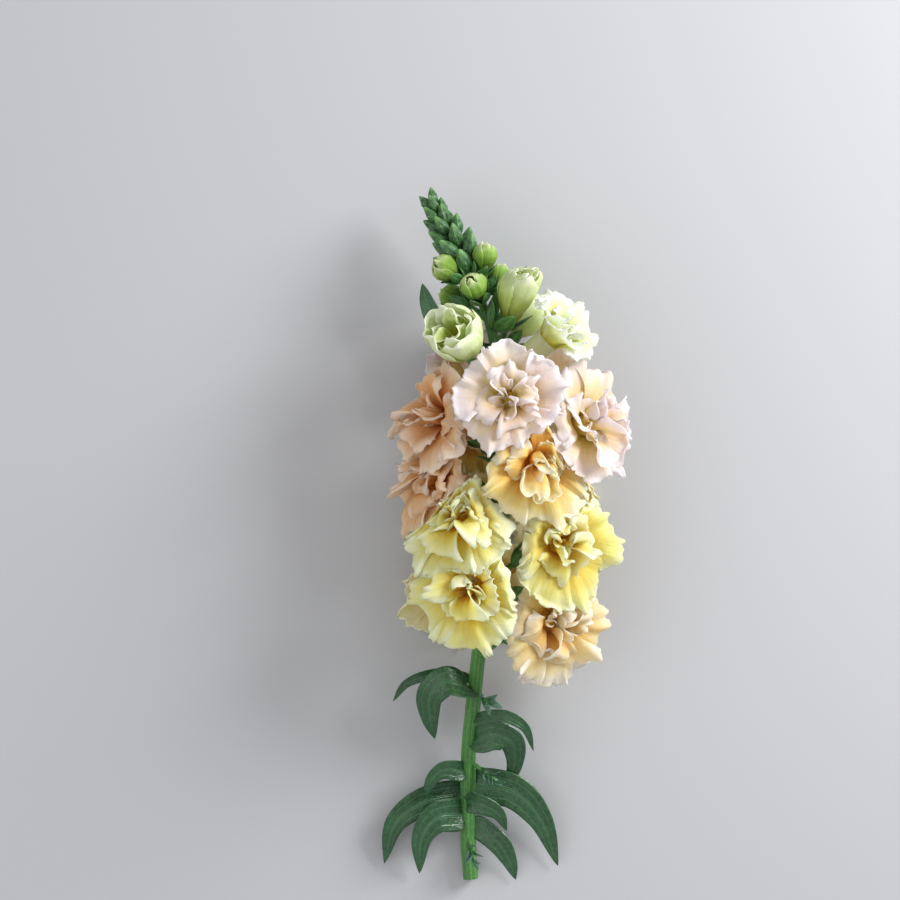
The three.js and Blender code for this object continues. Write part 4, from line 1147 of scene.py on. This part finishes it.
tipBuds = {  # pairs from the lowest bud to the tip
    "count": 25, "y": (74, 102.6), "length": (10.6, 6.4), "radius": (3.4, 2.0), "stand": (3.3, 1.0),
    "spread": (0.95, 0.3), "grooves": 5.0, "grooveDepth": 0.2, "twist": 0.5, "taper": 0.42, "tip": 0.14,
    "bractWidth": 2.8, "bractLength": 0.66, "bractFold": -0.55,
}
bractForm = {"rows": 12, "cols": 8, "wave": 0.06, "ripples": 5.0, "thick": 0.13}


def tipBudPlaces():
    for index in range(tipBuds["count"]):
        t = index / (tipBuds["count"] - 1)
        centre, ahead, up, right = stemAt(between(*tipBuds["y"], t**0.9))
        angle = math.radians(leafStep * index)
        out = up * math.cos(angle) + right * math.sin(angle)
        keys = ("length", "radius", "stand", "spread")
        length, radius, stand, spread = (between(*tipBuds[key], t) for key in keys)
        yield centre + out * stand, unit(ahead + out * spread), out, length, radius


def addBracts():
    store = newStore()
    s = np.linspace(0, 1, bractForm["rows"])
    shape = np.sin(math.pi * (0.1 + 0.88 * s) ** 0.8)
    for foot, aim, out, length, radius in tipBudPlaces():
        away = squareTo(aim, out)
        stand = radius * 0.98 * np.sin(math.pi * (0.1 + 0.56 * s)) + 0.3 * s**4
        line = foot + (length * tipBuds["bractLength"] * s)[:, None] * aim + stand[:, None] * away
        flats = np.repeat(np.cross(aim, away)[None], bractForm["rows"], 0)
        ups = np.cross(flats, unit(np.gradient(line, axis=0)))
        ups = ups * np.sign((ups * away).sum(-1, keepdims=True))
        half = tipBuds["bractWidth"] / 2 * (radius / tipBuds["radius"][0]) * shape + 0.04
        addBlade(store, line, flats, ups, half, tipBuds["bractFold"] * shape, shape, bractForm)
    return store


def growTipBuds():
    points, aims, _, lengths, radii = zip(*tipBudPlaces())
    source = pointSource("tipBudPoints", points, aims, list(zip(radii, radii, lengths)))
    values = {
        "Grooves": tipBuds["grooves"], "Groove Depth": tipBuds["grooveDepth"], "Twist": tipBuds["twist"],
        "Taper": tipBuds["taper"], "Tip": tipBuds["tip"], "Skin": greens["tightBud"],
    }
    grow("tip_buds", source, makeBudTree(), values, ["stem"])


makePiece("tip_bracts", addBracts(), [greens["tightBud"]], [])
growTipBuds()
print("stage: tip buds")

stamens = {
    "count": 4, "spread": 1.5, "rise": (1.6, 3.4), "lean": 2.1, "leanSwing": 1.6, "bow": 1.2,
    "rootBelow": 4, "rootUp": 2.2, "rootSpread": 0.4, "thick": 0.26, "steps": 10, "sides": 8,
    "sac": (0.75, 0.55, 1.25), "sacsApart": 0.55, "sacShape": (0.6, 0.8, 1.0),
}


def makeAntherTree():
    # two pollen sacs side by side
    tree, given = newTree("antherPairs", Sacs_Apart="Float")
    both = tree.nodes.new("GeometryNodeJoinGeometry")
    for way in (-1, 1):
        ball = addNode(tree, "GeometryNodeMeshIcoSphere", {"Radius": 1.0, "Subdivisions": 2})
        aside = calc(tree, "MULTIPLY", given["Sacs Apart"], float(way))
        place = addNode(tree, "ShaderNodeCombineXYZ", {0: aside}).outputs[0]
        inputs = {"Geometry": ball.outputs[0], "Translation": place, "Scale": stamens["sacShape"]}
        tree.links.new(addNode(tree, "GeometryNodeTransform", inputs).outputs[0], both.inputs[0])
    return standOnPoints(tree, given, both.outputs[0])


def growStamens(heads):
    threads, tips, aims = [], [], []
    for head in heads:
        if head["kind"] != "open":
            continue
        roll = dice(head["seed"] * 11 + 5)
        centre, facing, upper, side = (head[key] for key in ("centre", "facing", "upper", "side"))
        for k in range(stamens["count"]):
            aside = (k - (stamens["count"] - 1) / 2) * stamens["spread"] * (0.8 + 0.4 * roll())
            rise = between(*stamens["rise"], roll())
            foot = centre - facing * stamens["rootBelow"] + upper * stamens["rootUp"]
            foot = foot + side * aside * stamens["rootSpread"]
            lean = stamens["lean"] - stamens["leanSwing"] * roll()
            tip = centre + facing * rise + upper * lean + side * aside
            line = bowLine(foot, (foot + tip) / 2 + upper * stamens["bow"], tip, stamens["steps"])
            threads.append((line, np.full(stamens["steps"], stamens["thick"])))
            tips.append(tip)
            aims.append(unit(side * (roll() - 0.5) + facing * 0.6 - upper * 0.3))
    values = {"Sides": stamens["sides"], "Ridges": 1.0, "Ridge Depth": 0.0, "Skin": pollen}
    grow("stamen_threads", curveSource("stamenLines", threads), sweepTree, values, [])
    source = pointSource("antherPoints", tips, aims, [stamens["sac"]] * len(tips))
    values = {"Sacs Apart": stamens["sacsApart"], "Skin": pollen}
    grow("anthers", source, makeAntherTree(), values, [])


growStamens(heads)
print("stage: stamens")

studio = {
    "floor": (0.46, 0.46, 0.47), "floorRough": 0.85, "floorHalf": 4,
    "sky": (0.95, 0.96, 0.98), "skyStrength": 0.64,
    "lights": {  # place, size, energy, colour
        "keyLight": ((0.72, 0.46, 0.46), 0.42, 11.6, (0.975, 0.99, 1)),
        "fillLight": ((-0.7, -0.1, 0.8), 0.9, 2.6, (0.97, 0.98, 1)),
    },
    "aim": (0, 0, 0.03),
}


def makeFloor():
    half = studio["floorHalf"]
    material = bpy.data.materials.new("floorPaper")
    material.use_nodes = True
    skin = material.node_tree.nodes["Principled BSDF"]
    skin.inputs["Base Color"].default_value = (*studio["floor"], 1)
    skin.inputs["Roughness"].default_value = studio["floorRough"]
    mesh = bpy.data.meshes.new("floor")
    corners = [(-half, -half, 0), (half, -half, 0), (half, half, 0), (-half, half, 0)]
    mesh.from_pydata(corners, [], [(0, 1, 2, 3)])
    mesh.materials.append(material)
    floor = placeObject("floor", mesh)


def makeStudio():
    makeFloor()
    for name, (place, size, energy, colour) in studio["lights"].items():
        lamp = bpy.data.lights.new(name, "AREA")
        lamp.energy, lamp.size, lamp.color = energy, size, colour
        light = placeObject(name, lamp)
        light.location = place
        light.rotation_euler = (Vector(studio["aim"]) - Vector(place)).to_track_quat("-Z", "Y").to_euler()
    world = bpy.data.worlds.new("studioSky")
    world.use_nodes = True
    back = world.node_tree.nodes["Background"]
    back.inputs["Color"].default_value = (*studio["sky"], 1)
    back.inputs["Strength"].default_value = studio["skyStrength"]
    bpy.context.scene.world = world
    bpy.context.scene.view_settings.view_transform = "Standard"


# metres; straight above, as wide as the photograph
view = {"distance": 1.25, "field": 0.375, "height": 0.031, "sensor": 36}


def makeCamera():
    lens = bpy.data.cameras.new("camera")
    lens.sensor_width = lens.sensor_height = view["sensor"]
    lens.sensor_fit = "HORIZONTAL"
    lens.angle = 2 * math.atan(view["field"] / 2 / view["distance"])
    lens.clip_start, lens.clip_end = 0.01, 20
    camera = placeObject("camera", lens)
    camera.location = (shift[0] * mm, shift[1] * mm, view["height"] + view["distance"])
    bpy.context.scene.camera = camera


makeStudio()
makeCamera()
print("stage: studio")
